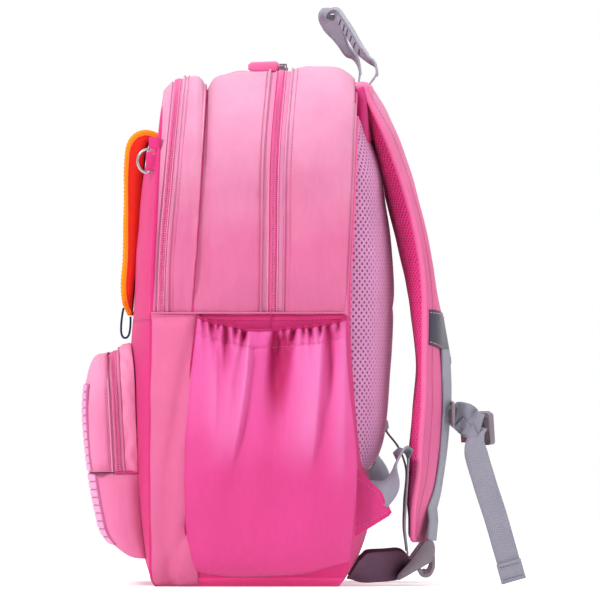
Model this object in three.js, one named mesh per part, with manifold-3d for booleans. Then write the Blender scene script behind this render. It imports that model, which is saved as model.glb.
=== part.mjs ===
// A school backpack for a primary-school child, as separate sewn, moulded and wire pieces.
// Millimetres. +Z is up, -Y is the pocket side, +Y is the wearer's side, +X is the wearer's right.
// The origin is the centre of the flat base.
import * as THREE from 'three';
import { mergeVertices } from 'three/addons/utils/BufferGeometryUtils.js';
import Module from 'manifold-3d';

const wasm = await Module();
wasm.setup();

// ---- Driving dimensions -------------------------------------------------------------------

const GAP = 0.3;                 // clearance between two pieces that touch
const FABRIC = 3;                // padded fabric wall
const BOARD = 4;                 // foam board in the back
const HALF_WIDTH = 138;          // side seam to centre
const SEAM_TOP = 398;            // height of the top seams
const TOP_RADIUS = 82;           // top corners of the front outline
const BOTTOM_RADIUS = 26;        // bottom corners of the front outline
const ZIP_END = 219;             // level where both long zips end
const CREASE = { y: -97, z: 213 };   // fold line of the front section
const MAIN_ZIP_HALF = 9;         // half the main zip band with its rain flaps
const SLIM_ZIP_HALF = 5.5;       // half the organiser zip band
const ARC_STEPS = 6;
const WEBBING = { width: 25, thickness: 1.6 };
const SLIM_WEBBING = { width: 19, thickness: 1.4 };
const BASE_TURN = Math.PI / 4;   // the base panel wraps this far round the bottom corners
const PANEL_TURN = 0.08;         // where the upright panels start, just above the floor
const SIDES = [['right', 1], ['left', -1]];

// Seams and zips as seen from the side: [height, depth] pairs.
const FRONT_SEAM = [[0, -80], [219, -79.5], [300, -76], [390, -69.5], [400, -68]];
const ORGANISER_ZIP = [[219, -71.6], [270, -69.6], [330, -64.6], [405, -57.6]];
const VALLEY = [[0, -47], [22, -48], [70, -52], [150, -50.4], [220, -46.4], [310, -40], [394, -35.2]];
const MAIN_ZIP = [[219, 17.6], [270, 18.4], [350, 20], [410, 26.4]];
const REAR_SEAM = [[0, 78], [38, 80], [222, 77.6], [310, 81.6], [402, 85.6]];

// How far the stuffed top stands above the top seam: [depth, rise] pairs.
const MAIN_RISE = [[-35, 0], [-28, 9], [-18, 13.5], [10, 15.3], [32, 17], [56, 19.5], [76, 15.5], [86, 7]];
const ORGANISER_RISE = [[-70, -8], [-64, 4], [-56, 9], [-48, 11], [-40, 8], [-35, -2]];
const BACK_TOP_RISE = 7;         // the back panel's top edge above the top seam
const SIDE_SHARE = 0.35;         // the sides puff out by this share of the top's rise

// How far the front panel stands ahead of its seam: [height, bulge] pairs.
const FRONT_BULGE = [[4, 0.5], [30, 6.5], [110, 13], [198, 16], [219, 14.2], [270, 14.4], [286, 11.5],
  [334, 8.5], [390, 1]];

// Front face of the small pocket: [height, depth] pairs.
const POCKET_FACE = [[22, -104], [37, -117.6], [60, -124.2], [86, -128.9], [113, -132.2],
  [145, -134.2], [166, -133], [190, -130]];
const POCKET = { halfWidth: 102, bottom: 22, top: 190, radius: 34, zipEnd: 91, wall: 2.5 };
const POCKET_ZIP = [[91, -105.4], [190, -110.6]];
const POCKET_ZIP_HALF = 4.5;
const POCKET_CREASE = { y: -138, z: 91.2 };

// Wearer's face of the back pad: [height, depth] pairs.
const PAD_FACE = [[90, 102], [104, 105.6], [126, 109.6], [150, 111.6], [288, 112.4], [310, 108.8],
  [332, 106.4], [352, 100.8], [366, 94.8]];

// Shoulder strap in the middle of its width: [height, inner face depth, outer face depth].
const STRAP_LINE = [[401, 89.5, 97], [391, 98.8, 105], [374, 104.5, 113.5], [356, 110.5, 122.4],
  [331, 117.5, 130], [310, 122.5, 136], [266, 133, 147], [218, 141.5, 155], [172, 148, 161.4],
  [121, 146, 159], [91, 142.5, 155], [60, 138, 149.5], [38, 134.5, 144.5]];
const STRAP = { centre: 58, rootHalf: 30, half: 33, tipHalf: 15, cup: 8 };

const COLOURS = {
  lightPink: 0xec96bd, hotPink: 0xec5d9c, sidePink: 0xe857a2, darkPink: 0xbf3b75, zipPink: 0xef82ae,
  meshPink: 0xd08cb8, strapPink: 0xe67dad, plate: 0xe384ae, orange: 0xe9441e, navy: 0x19285a,
  webbing: 0x9c9bab, plastic: 0x83777f, metal: 0xb9bcc0, base: 0xa5214f,
};

// ---- Geometry helpers ---------------------------------------------------------------------

const backpack = new THREE.Group();

function piece(name, geometry, colour, roughness = 0.85, metalness = 0) {
  const material = new THREE.MeshStandardMaterial({ color: colour, roughness, metalness });
  const mesh = new THREE.Mesh(geometry, material);
  mesh.name = name;
  backpack.add(mesh);
  return mesh;
}

const point = (x, y, z) => new THREE.Vector3(x, y, z);

// The value at a place, by straight lines between [place, value] pairs.
function along(pairs, place) {
  const last = pairs.length - 1;
  if (place <= pairs[0][0]) return pairs[0][1];
  if (place >= pairs[last][0]) return pairs[last][1];
  const next = pairs.findIndex((pair) => pair[0] > place);
  const [a, valueA] = pairs[next - 1];
  const [b, valueB] = pairs[next];
  return THREE.MathUtils.lerp(valueA, valueB, (place - a) / (b - a));
}

const frontSeam = (z) => along(FRONT_SEAM, z);
const organiserZip = (z) => along(ORGANISER_ZIP, z);
const valley = (z) => along(VALLEY, z);
const mainZip = (z) => along(MAIN_ZIP, z);
const rearSeam = (z) => along(REAR_SEAM, z);

// Six times the signed volume of an indexed mesh, which is positive when its faces point out.
function signedVolume(vertices, faces) {
  const [a, b, c] = [point(), point(), point()];
  let sum = 0;
  for (let i = 0; i < faces.length; i += 3) {
    a.copy(vertices[faces[i]]);
    b.copy(vertices[faces[i + 1]]);
    c.copy(vertices[faces[i + 2]]);
    sum += a.dot(b.cross(c));
  }
  return sum;
}

function closedMesh(vertices, faces) {
  const outward = signedVolume(vertices, faces) > 0 ? faces : faces.slice().reverse();
  const geometry = new THREE.BufferGeometry().setFromPoints(vertices);
  geometry.setIndex(outward);
  return geometry;
}

// A closed solid between two skins, each a grid of points with the same rows and columns.
function slab(outer, inner) {
  const rows = outer.length;
  const columns = outer[0].length;
  const faces = [];
  const at = (skin, row, column) => (skin * rows + row) * columns + column;
  const quad = (a, b, c, d) => faces.push(a, b, c, a, c, d);
  for (let row = 0; row + 1 < rows; row += 1) {
    for (let column = 0; column + 1 < columns; column += 1) {
      quad(at(0, row, column), at(0, row, column + 1), at(0, row + 1, column + 1), at(0, row + 1, column));
      quad(at(1, row, column), at(1, row + 1, column), at(1, row + 1, column + 1), at(1, row, column + 1));
    }
    const end = columns - 1;
    quad(at(0, row, 0), at(0, row + 1, 0), at(1, row + 1, 0), at(1, row, 0));
    quad(at(0, row, end), at(1, row, end), at(1, row + 1, end), at(0, row + 1, end));
  }
  for (let column = 0; column + 1 < columns; column += 1) {
    const end = rows - 1;
    quad(at(0, 0, column), at(1, 0, column), at(1, 0, column + 1), at(0, 0, column + 1));
    quad(at(0, end, column), at(0, end, column + 1), at(1, end, column + 1), at(1, end, column));
  }
  return closedMesh([...outer.flat(), ...inner.flat()], faces);
}

// Numbers from first to last, evenly spaced.
function spread(first, last, count) {
  return Array.from({ length: count }, (_, i) => THREE.MathUtils.lerp(first, last, i / (count - 1)));
}

// A flat strap along a centre line. across gives the direction of its width at each point.
function ribbon(line, across, width, thickness) {
  const outer = [];
  const inner = [];
  line.forEach((centre, i) => {
    const ahead = line[Math.min(i + 1, line.length - 1)].clone().sub(line[Math.max(i - 1, 0)]);
    const side = across(i / (line.length - 1)).clone().normalize();
    const up = side.clone().cross(ahead).normalize();
    side.crossVectors(ahead, up).normalize();
    const half = (typeof width === 'number' ? width : width(i / (line.length - 1))) / 2;
    const lift = (typeof thickness === 'number' ? thickness : thickness(i / (line.length - 1))) / 2;
    const corner = (s, t) => centre.clone().addScaledVector(side, s * half).addScaledVector(up, t * lift);
    outer.push([corner(-1, 1), corner(1, 1)]);
    inner.push([corner(-1, -1), corner(1, -1)]);
  });
  return slab(outer, inner);
}

// Points evenly spread on a smooth curve through the given ones.
function smooth(points, count) {
  return new THREE.CatmullRomCurve3(points, false, 'centripetal').getSpacedPoints(count - 1);
}

// A closed ring of round wire through the given points.
function wireRing(points, radius, steps, sides = 8) {
  const curve = new THREE.CatmullRomCurve3(points, true, 'catmullrom', 0.4);
  const frames = curve.computeFrenetFrames(steps, true);
  const vertices = [];
  const faces = [];
  for (let i = 0; i < steps; i += 1) {
    const centre = curve.getPointAt(i / steps);
    for (let j = 0; j < sides; j += 1) {
      const angle = (j / sides) * 2 * Math.PI;
      const spoke = frames.normals[i].clone().multiplyScalar(Math.cos(angle) * radius);
      spoke.addScaledVector(frames.binormals[i], Math.sin(angle) * radius);
      vertices.push(centre.clone().add(spoke));
      const a = i * sides + j;
      const b = i * sides + ((j + 1) % sides);
      const c = ((i + 1) % steps) * sides + ((j + 1) % sides);
      const d = ((i + 1) % steps) * sides + j;
      faces.push(a, b, c, a, c, d);
    }
  }
  return closedMesh(vertices, faces);
}

// Boolean work on closed geometries.
function toSolid(geometry) {
  const bare = geometry.clone();
  bare.deleteAttribute('normal');
  bare.deleteAttribute('uv');
  const merged = mergeVertices(bare, 1e-4);
  const vertProperties = new Float32Array(merged.attributes.position.array);
  const triVerts = new Uint32Array(merged.index.array);
  return new wasm.Manifold(new wasm.Mesh({ numProp: 3, vertProperties, triVerts }));
}

function fromSolid(solid) {
  const mesh = solid.getMesh();
  const geometry = new THREE.BufferGeometry();
  geometry.setAttribute('position', new THREE.BufferAttribute(new Float32Array(mesh.vertProperties), 3));
  geometry.setIndex(new THREE.BufferAttribute(new Uint32Array(mesh.triVerts), 1));
  return geometry;
}

const join = (...parts) => fromSolid(parts.map(toSolid).reduce((sum, next) => sum.add(next)));
const cut = (from, tool) => fromSolid(toSolid(from).subtract(toSolid(tool)));

function box(width, depth, height, x, y, z) {
  return new THREE.BoxGeometry(width, depth, height).translate(x, y, z);
}

// A plate from a flat outline, extruded up from z = 0.
function plate(shape, thickness) {
  return new THREE.ExtrudeGeometry(shape, { depth: thickness, bevelEnabled: false, curveSegments: 3 });
}

function roundedRect(halfX, halfY, radius, Kind = THREE.Shape) {
  const shape = new Kind();
  shape.moveTo(halfX, -halfY + radius);
  shape.lineTo(halfX, halfY - radius);
  shape.absarc(halfX - radius, halfY - radius, radius, 0, Math.PI / 2, false);
  shape.lineTo(-halfX + radius, halfY);
  shape.absarc(-halfX + radius, halfY - radius, radius, Math.PI / 2, Math.PI, false);
  shape.lineTo(-halfX, -halfY + radius);
  shape.absarc(-halfX + radius, -halfY + radius, radius, Math.PI, 1.5 * Math.PI, false);
  shape.lineTo(halfX - radius, -halfY);
  shape.absarc(halfX - radius, -halfY + radius, radius, 1.5 * Math.PI, 2 * Math.PI, false);
  return shape;
}

// ---- The bag's outline seen from the front ------------------------------------------------

// Right-hand stations from bottom to top: a place on the seam outline and its outward normal.
function lowerStations(top, start) {
  const stations = [];
  spread(start, Math.PI / 2, 4).forEach((turn) => stations.push({
    x: HALF_WIDTH - BOTTOM_RADIUS + BOTTOM_RADIUS * Math.sin(turn),
    z: BOTTOM_RADIUS - BOTTOM_RADIUS * Math.cos(turn),
    nx: Math.sin(turn),
    nz: -Math.cos(turn),
  }));
  spread(BOTTOM_RADIUS, top, 5).slice(1).forEach((z) => stations.push({ x: HALF_WIDTH, z, nx: 1, nz: 0 }));
  return stations;
}

function upperStations(bottom) {
  const corner = SEAM_TOP - TOP_RADIUS;
  const stations = spread(bottom, corner, 4).slice(0, -1).map((z) => ({ x: HALF_WIDTH, z, nx: 1, nz: 0 }));
  spread(0, Math.PI / 2, ARC_STEPS + 1).forEach((turn) => stations.push({
    x: HALF_WIDTH - TOP_RADIUS + TOP_RADIUS * Math.cos(turn),
    z: corner + TOP_RADIUS * Math.sin(turn),
    nx: Math.cos(turn),
    nz: Math.sin(turn),
  }));
  return stations;
}

const mirrored = (station) => ({ ...station, x: -station.x, nx: -station.nx });

// A wall that follows the outline over the top, from one depth line to another.
function arch(from, to, rise, columns) {
  const right = upperStations(ZIP_END + GAP);
  const middle = { x: 0, z: SEAM_TOP, nx: 0, nz: 1 };
  const stations = [...right, middle, ...right.map(mirrored).reverse()];
  const skin = (depth) => stations.map((s) => spread(from(s.z), to(s.z), columns).map((y) => {
    const lift = along(rise, y) * THREE.MathUtils.lerp(SIDE_SHARE, 1, s.nz) - depth;
    return point(s.x + s.nx * lift, y, s.z + s.nz * lift);
  }));
  return slab(skin(0), skin(FABRIC));
}

// A panel across the bag, with a depth for each place on it.
function crossPanel(stations, inset, depthAt, thickness, columns) {
  const skin = (back) => stations.map((s) => {
    const half = s.x - s.nx * inset(s.nz);
    const z = s.z - s.nz * inset(s.nz);
    return spread(-half, half, columns).map((x) => point(x, depthAt(x, z) + back, z));
  });
  return slab(skin(0), skin(thickness));
}

const frontInset = (nz) => THREE.MathUtils.lerp(1, 8, Math.max(nz, 0));
const innerInset = () => FABRIC + 0.6;

function frontDepth(x, z) {
  const reach = Math.abs(x) / HALF_WIDTH;
  return frontSeam(z) - along(FRONT_BULGE, z) * Math.max(0, 1 - reach ** 4);
}

// ---- Lower body ---------------------------------------------------------------------------

function basePanel() {
  const arc = spread(BASE_TURN, 0, 4);
  const turns = [...arc.map((turn) => [-1, turn]), ...arc.reverse().map((turn) => [1, turn])];
  const [front, rear] = [frontSeam(0) + FABRIC + GAP, rearSeam(0) - BOARD - GAP];
  const skin = (depth) => turns.map(([side, turn]) => {
    const radius = BOTTOM_RADIUS - depth;
    const x = side * (HALF_WIDTH - BOTTOM_RADIUS + radius * Math.sin(turn));
    return [front, rear].map((y) => point(x, y, BOTTOM_RADIUS - radius * Math.cos(turn)));
  });
  return slab(skin(0), skin(FABRIC));
}

function lowerSide(side) {
  const stations = lowerStations(ZIP_END - GAP, BASE_TURN + 0.02);
  const skin = (depth) => stations.map((s) => {
    const depths = spread(frontSeam(s.z) + FABRIC + GAP, rearSeam(s.z) - BOARD - GAP, 4);
    return depths.map((y) => point(side * (s.x - s.nx * depth), y, s.z - s.nz * depth));
  });
  return slab(skin(0), skin(FABRIC));
}

function lowerFront() {
  return crossPanel(lowerStations(CREASE.z - GAP, PANEL_TURN), () => 0, frontDepth, FABRIC, 9);
}

function lowerDivider() {
  const stations = lowerStations(ZIP_END - GAP, PANEL_TURN);
  return crossPanel(stations, innerInset, (x, z) => valley(z) + 1, FABRIC, 3);
}

function backPanel() {
  const stations = [...lowerStations(ZIP_END, PANEL_TURN), ...upperStations(ZIP_END).slice(1)];
  const inset = (nz) => -BACK_TOP_RISE * Math.max(nz, 0);
  return crossPanel(stations, inset, (x, z) => rearSeam(z) - BOARD, BOARD, 3);
}

const lineShift = (line, shift) => (z) => line(z) + shift;

piece('base_panel', basePanel(), COLOURS.base);
piece('lower_side_right', lowerSide(1), COLOURS.lightPink);
piece('lower_side_left', lowerSide(-1), COLOURS.lightPink);
piece('lower_front_panel', lowerFront(), COLOURS.hotPink);
piece('lower_divider', lowerDivider(), COLOURS.lightPink);
piece('back_panel', backPanel(), COLOURS.lightPink);

// ---- Upper rear: gusset and rear zip tape -------------------------------------------------

piece('rear_gusset', arch(lineShift(mainZip, MAIN_ZIP_HALF + GAP), lineShift(rearSeam, -BOARD - GAP),
  MAIN_RISE, 5), COLOURS.lightPink);
piece('main_zip_rear_tape', arch(lineShift(mainZip, GAP / 2), lineShift(mainZip, MAIN_ZIP_HALF),
  MAIN_RISE, 2), COLOURS.zipPink);

// ---- Front section: opens about the crease ------------------------------------------------

piece('main_zip_front_tape', arch(lineShift(mainZip, -MAIN_ZIP_HALF), lineShift(mainZip, -GAP / 2),
  MAIN_RISE, 2), COLOURS.zipPink);
piece('front_gusset', arch(lineShift(valley, GAP / 2), lineShift(mainZip, -MAIN_ZIP_HALF - GAP),
  MAIN_RISE, 5), COLOURS.lightPink);
piece('upper_divider', crossPanel(upperStations(ZIP_END + GAP), innerInset, (x, z) => valley(z) + 1,
  FABRIC, 3), COLOURS.lightPink);
piece('organiser_gusset', arch(lineShift(organiserZip, SLIM_ZIP_HALF + GAP), lineShift(valley, -GAP / 2),
  ORGANISER_RISE, 5), COLOURS.lightPink);
piece('organiser_zip_rear_tape', arch(lineShift(organiserZip, GAP / 2),
  lineShift(organiserZip, SLIM_ZIP_HALF), ORGANISER_RISE, 2), COLOURS.zipPink);
piece('organiser_zip_front_tape', arch(lineShift(frontSeam, FABRIC + GAP),
  lineShift(organiserZip, -GAP / 2), ORGANISER_RISE, 2), COLOURS.zipPink);

function upperFront() {
  const stations = upperStations(CREASE.z + GAP);
  return crossPanel(stations, frontInset, frontDepth, FABRIC, 9);
}
piece('upper_front_panel', upperFront(), COLOURS.hotPink);

// ---- Small front pocket -------------------------------------------------------------------

// Share of the pocket's depth that is left near its edge, for a reach of 0 to 1.
const roundOff = (reach) => Math.max(0, 1 - reach ** 5) ** 0.2;
const crowd = (share) => Math.sign(share) * Math.sin(Math.abs(share) * (Math.PI / 2)) ** 0.55;
const pocketZip = (z) => along(POCKET_ZIP, z);

// Half the pocket's width at a height, with its rounded top corners.
function pocketHalf(z, inset) {
  const radius = POCKET.radius - inset;
  const rise = Math.min(Math.max(z - (POCKET.top - POCKET.radius), 0), radius);
  return POCKET.halfWidth - POCKET.radius + Math.sqrt(radius ** 2 - rise ** 2);
}

function pocketSkin(inset, heights, columns, rim, limit) {
  const top = limit - Math.sign(limit - POCKET.zipEnd) * inset;
  return heights.map((share) => {
    const z = THREE.MathUtils.lerp(POCKET.zipEnd, top, crowd(share));
    const half = pocketHalf(z, inset);
    return spread(-1, 1, columns).map((across) => {
      const reach = crowd(across);
      const depth = roundOff(Math.abs(reach)) * roundOff(crowd(share));
      const back = rim(reach * half, z);
      return point(reach * half, THREE.MathUtils.lerp(back, along(POCKET_FACE, z) + inset, depth), z);
    });
  });
}

function pocketFront() {
  const heights = spread(0, 1, 7);
  const rim = (x, z) => pocketZip(z) - POCKET_ZIP_HALF - GAP;
  const skin = (inset) => pocketSkin(inset, heights, 11, rim, POCKET.top);
  return slab(skin(0), skin(POCKET.wall)).translate(0, 0, GAP);
}

function pocketBase() {
  const heights = spread(0, 1, 6);
  const rim = (x, z) => frontDepth(x, z) - GAP;
  const skin = (inset) => pocketSkin(inset, heights, 11, rim, POCKET.bottom);
  return slab(skin(0), skin(POCKET.wall)).translate(0, 0, -GAP);
}

// A strip that follows the pocket's sides and top, between two depth lines.
function pocketStrip(from, to) {
  const skin = (inset) => {
    const right = [{ x: POCKET.halfWidth - inset, z: POCKET.zipEnd + GAP }];
    spread(0, Math.PI / 2, 6).forEach((turn) => right.push({
      x: POCKET.halfWidth - POCKET.radius + (POCKET.radius - inset) * Math.cos(turn),
      z: POCKET.top - POCKET.radius + (POCKET.radius - inset) * Math.sin(turn),
    }));
    return [...right, ...right.map((s) => ({ x: -s.x, z: s.z })).reverse()]
      .map((s) => [point(s.x, from(s.x, s.z), s.z), point(s.x, to(s.x, s.z), s.z)]);
  };
  return slab(skin(0), skin(POCKET.wall));
}

const zipShift = (shift) => (x, z) => pocketZip(z) + shift;

piece('pocket_base', pocketBase(), COLOURS.lightPink);
piece('pocket_rim', pocketStrip(zipShift(POCKET_ZIP_HALF + GAP), (x, z) => frontDepth(x, z) - GAP),
  COLOURS.lightPink);
piece('pocket_zip_rear_tape', pocketStrip(zipShift(GAP / 2), zipShift(POCKET_ZIP_HALF)),
  COLOURS.zipPink);
piece('pocket_zip_front_tape', pocketStrip(zipShift(-POCKET_ZIP_HALF), zipShift(-GAP / 2)),
  COLOURS.zipPink);
piece('pocket_front', pocketFront(), COLOURS.lightPink);

// Stud plate on the pocket's face, in two pieces that meet at the crease.
const PLATE = { halfWidth: 74, top: 162, bottom: 36, thickness: 2.5, standOff: 1 };

function studPlate(from, to) {
  const across = spread(-PLATE.halfWidth, PLATE.halfWidth, 7);
  const skin = (stand) => spread(from, to, 5).map((z) => across.map((x) => {
    const depth = roundOff(Math.abs(x) / pocketHalf(z, 0));
    const height = roundOff(Math.abs(z - POCKET.zipEnd) / (POCKET.top - POCKET.zipEnd));
    const face = THREE.MathUtils.lerp(pocketZip(z), along(POCKET_FACE, z), depth * height);
    return point(x, face - stand, z);
  }));
  return slab(skin(PLATE.thickness + PLATE.standOff), skin(PLATE.standOff));
}
piece('stud_plate_upper', studPlate(POCKET.zipEnd + 1, PLATE.top), COLOURS.plate);
piece('stud_plate_lower', studPlate(POCKET.zipEnd - 1, PLATE.bottom), COLOURS.plate);

// ---- Side pockets -------------------------------------------------------------------------

const SIDE_POCKET = { bottom: 13, top: 209, dip: 7, wall: 2, mouth: 10, belly: 17, standOff: 1.2 };

function sidePocket(side) {
  const rows = [0, 0.06, 0.2, 0.45, 0.72, 1];
  const skin = (inset) => rows.map((share) => spread(0, 1, 9).map((across) => {
    const rim = SIDE_POCKET.top - SIDE_POCKET.dip * Math.sin(Math.PI * across) ** 0.7;
    const z = THREE.MathUtils.lerp(SIDE_POCKET.bottom + inset, rim, share);
    const front = valley(z) - 2 + inset;
    const back = rearSeam(z) - BOARD - GAP - inset;
    const swell = Math.sin(Math.PI * across) ** 0.5 * Math.min(1, share * 8) ** 0.5;
    const belly = THREE.MathUtils.lerp(SIDE_POCKET.belly, SIDE_POCKET.mouth, Math.max(0, share * 2 - 1));
    const turn = Math.acos(THREE.MathUtils.clamp((BOTTOM_RADIUS - z) / BOTTOM_RADIUS, 0, 1));
    const wall = HALF_WIDTH - BOTTOM_RADIUS + BOTTOM_RADIUS * Math.sin(turn);
    const hem = (SIDE_POCKET.wall - inset) * 0.5;
    const stand = SIDE_POCKET.standOff + hem + (belly - inset) * swell;
    return point(side * (wall + stand), THREE.MathUtils.lerp(front, back, across), z);
  }));
  return slab(skin(0), skin(SIDE_POCKET.wall));
}
SIDES.forEach(([name, side]) => piece(`side_pocket_${name}`, sidePocket(side), COLOURS.sidePink));

// ---- Back pad, yoke and wing tabs ---------------------------------------------------------

function backPad() {
  const skin = (front) => spread(88, 366, 9).map((z) => {
    const half = Math.min(118, 118 - Math.max(0, z - 330) * 0.9);
    return spread(-1, 1, 9).map((across) => {
      const crown = (1 - Math.abs(across) ** 4) ** 0.6;
      const base = rearSeam(z) + GAP;
      const face = THREE.MathUtils.lerp(base + 3, along(PAD_FACE, z), crown);
      return point(across * half, front ? base : face, z);
    });
  });
  return slab(skin(false), skin(true));
}
piece('back_pad', backPad(), COLOURS.meshPink, 0.9);

function yoke() {
  const skin = (front) => spread(0, 1, 5).map((rise) => spread(-1, 1, 9).map((across) => {
    const low = 368 + 9 * Math.abs(across);
    const z = THREE.MathUtils.lerp(low, 391, rise);
    const base = rearSeam(z) + GAP;
    return point(across * 104, front ? base : base + 7 - 2 * Math.abs(across), z);
  }));
  return slab(skin(false), skin(true));
}
piece('yoke', yoke(), COLOURS.darkPink);

// A triangular tab sewn into the rear seam, which holds the lower webbing.
const WING = { top: 99, bottom: 39, tip: { y: 112, z: 59 }, x: 127, thickness: 3 };

function wingTab(side) {
  const root = rearSeam(70) + 2;
  const shape = new THREE.Shape();
  shape.moveTo(root, WING.bottom);
  shape.lineTo(WING.tip.y, WING.tip.z);
  shape.lineTo(WING.tip.y - 8, WING.tip.z + 16);
  shape.lineTo(root, WING.top);
  shape.closePath();
  const geometry = plate(shape, WING.thickness);
  geometry.rotateX(Math.PI / 2).rotateZ(Math.PI / 2);
  return geometry.translate(side * WING.x - WING.thickness / 2, 0, 0);
}
SIDES.forEach(([name, side]) => piece(`wing_tab_${name}`, wingTab(side), COLOURS.darkPink));

// ---- Shoulder straps ----------------------------------------------------------------------

function strapPad(side) {
  const last = STRAP_LINE.length - 1;
  const skin = (face) => STRAP_LINE.map((stop, i) => {
    const ease = Math.min(1, i / 3);
    let half = THREE.MathUtils.lerp(STRAP.rootHalf, STRAP.half, ease);
    if (i > last - 3) half = THREE.MathUtils.lerp(STRAP.half, STRAP.tipHalf, (i - last + 3) / 3);
    const [z, innerY, outerY] = stop;
    const middle = (innerY + outerY) / 2;
    const centre = THREE.MathUtils.lerp(STRAP.centre, STRAP.centre + 16, i / last);
    return spread(-1, 1, 7).map((across) => {
      const crown = 1 - 0.75 * across ** 4;
      const cup = STRAP.cup * ease * 0.5 * (across - 1) * (i < 3 ? 0.3 : 1);
      const y = THREE.MathUtils.lerp(middle, face ? innerY : outerY, crown) + cup;
      return point(side * (centre + across * half), y, z);
    });
  });
  return slab(skin(0), skin(1));
}

// Ladder lock at the strap's lower end: a slotted plate, tilted down toward the bag.
const LOCK = { x: 74, y: 131, z: 20.5, width: 35, length: 38, thickness: 3.6, slot: 27 };
const LOCK_SLOTS = [11.5, 4.2, -3.1];

// Middle of the strap's outer face at a height.
const strapCentre = (z) => THREE.MathUtils.lerp(STRAP.centre, STRAP.centre + 16, (401 - z) / 363);
const STRAP_OUTER = STRAP_LINE.map(([height, , outer]) => [height, outer]).reverse();
const strapFace = (z) => along(STRAP_OUTER, z);

const STRAP_WEBBING = { top: 186, tip: 44, bottom: 36.8, endY: 145.6 };

function strapWebbing(side) {
  const { top, tip, bottom, endY } = STRAP_WEBBING;
  const line = spread(top, tip, 8).map((z) => point(side * strapCentre(z), strapFace(z) - 0.4, z));
  line.push(point(side * LOCK.x, endY, bottom));
  return ribbon(line, () => point(1, side * 0.12, 0), WEBBING.width, WEBBING.thickness);
}

SIDES.forEach(([name, side]) => {
  piece(`shoulder_strap_${name}`, strapPad(side), COLOURS.strapPink);
  piece(`strap_webbing_${name}`, strapWebbing(side), COLOURS.webbing, 0.7);
});

// ---- Shoulder strap hardware --------------------------------------------------------------

// Places a flat piece: its own x, y and z axes go along the given directions, at a place.
function place(geometry, xAxis, yAxis, at) {
  const x = xAxis.clone().normalize();
  const z = x.clone().cross(yAxis).normalize();
  const y = z.clone().cross(x);
  const matrix = new THREE.Matrix4().makeBasis(x, y, z).setPosition(at);
  return geometry.applyMatrix4(matrix);
}

function ladderLock(side) {
  const shape = roundedRect(LOCK.width / 2, LOCK.length / 2, 5);
  LOCK_SLOTS.forEach((at) => {
    const hole = roundedRect(LOCK.slot / 2, 1.9, 1.2, THREE.Path);
    shape.holes.push(new THREE.Path(hole.getPoints(2).map((p) => new THREE.Vector2(p.x, p.y + at))));
  });
  const geometry = plate(shape, LOCK.thickness).translate(0, 0, -LOCK.thickness / 2);
  return place(geometry, point(1, 0, 0), point(0, 1, 1), point(side * LOCK.x, LOCK.y, LOCK.z));
}

// Webbing from the wing tab, over a slack loop and down to the ladder lock.
function lowerWebbing(side) {
  const route = [[127, 106, 79.5], [127, 111, 84], [124.5, 117, 92.5], [116, 122, 100], [103, 124.5, 99],
    [90, 124, 84], [79, 123.4, 62], [74.5, 123.6, 42], [74, 125.2, 29]];
  const line = smooth(route.map(([x, y, z]) => point(side * x, y, z)), 16);
  const [first, last] = [point(0, 22, -25), point(side * 25, 0, 0)];
  const across = (t) => first.clone().lerp(last, Math.min(1, t * 1.5));
  return ribbon(line, across, WEBBING.width, WEBBING.thickness);
}

// The free end of that webbing, which hangs back toward the bag's corner.
function webbingTail(side) {
  const route = [[74, 118, 17.4], [77, 108, 15.6], [84, 98, 14.2], [92, 90, 14], [97, 84.5, 14]];
  const line = smooth(route.map(([x, y, z]) => point(side * x, y, z)), 7);
  const [first, last] = [point(side, 0.2, 0), point(0, -0.1, 1)];
  const across = (t) => first.clone().lerp(last, Math.min(1, t * 1.4));
  return ribbon(line, across, SLIM_WEBBING.width, WEBBING.thickness);
}

SIDES.forEach(([name, side]) => {
  piece(`ladder_lock_${name}`, ladderLock(side), COLOURS.plastic, 0.45);
  piece(`lower_webbing_${name}`, lowerWebbing(side), COLOURS.webbing, 0.7);
  piece(`webbing_tail_${name}`, webbingTail(side), COLOURS.webbing, 0.7);
});

// ---- Sternum strap ------------------------------------------------------------------------

const STERNUM = { z: 138, width: 28, height: 15, thickness: 2.6, standOff: 5, barY: 192, buckleZ: 126 };

function sternumKeeper(side) {
  const at = point(side * strapCentre(STERNUM.z), strapFace(STERNUM.z) + STERNUM.standOff, STERNUM.z);
  return box(STERNUM.width, STERNUM.thickness, STERNUM.height, at.x, at.y, at.z);
}

// The buckle's webbing half: a slotted frame, with three prongs on the plug.
function buckleHalf(side, prongs) {
  const frame = roundedRect(8, 13, 3);
  const slot = roundedRect(1.8, 10.2, 1, THREE.Path);
  frame.holes.push(new THREE.Path(slot.getPoints(2).map((p) => new THREE.Vector2(p.x + 3.4, p.y))));
  const parts = [plate(frame, 5).translate(0, 0, -2.5)];
  if (prongs) [-9, 0, 9].forEach((across) => parts.push(box(17, across ? 4.6 : 3, 3, -15, across, 0)));
  else parts.push(box(16, 24, 8, -15, 0, 0));
  const geometry = join(...parts);
  const at = point(side * (strapCentre(STERNUM.z) - 4), STERNUM.barY - 3, STERNUM.buckleZ);
  return place(geometry, point(side * 0.72, 0.69, 0), point(0, -0.12, 1), at);
}

function sternumWebbing(side, short) {
  const x = strapCentre(STERNUM.z);
  const start = strapFace(STERNUM.z) + STERNUM.standOff + 2.2;
  const reach = [[x, start, 137], [x + 0.4, start + 3, 136.8], [x + 3, start + 7, 134.5],
    [x + 1.5, start + 11, 132], [x + 5, start + 15, 129.5], [x + 5.4, STERNUM.barY - 7.6, 128]];
  const line = smooth(reach.map(([px, y, z]) => point(side * px, y, z)), short ? 8 : 9);
  return ribbon(line, () => point(0, -0.1, 1), SLIM_WEBBING.width, SLIM_WEBBING.thickness);
}

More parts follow.
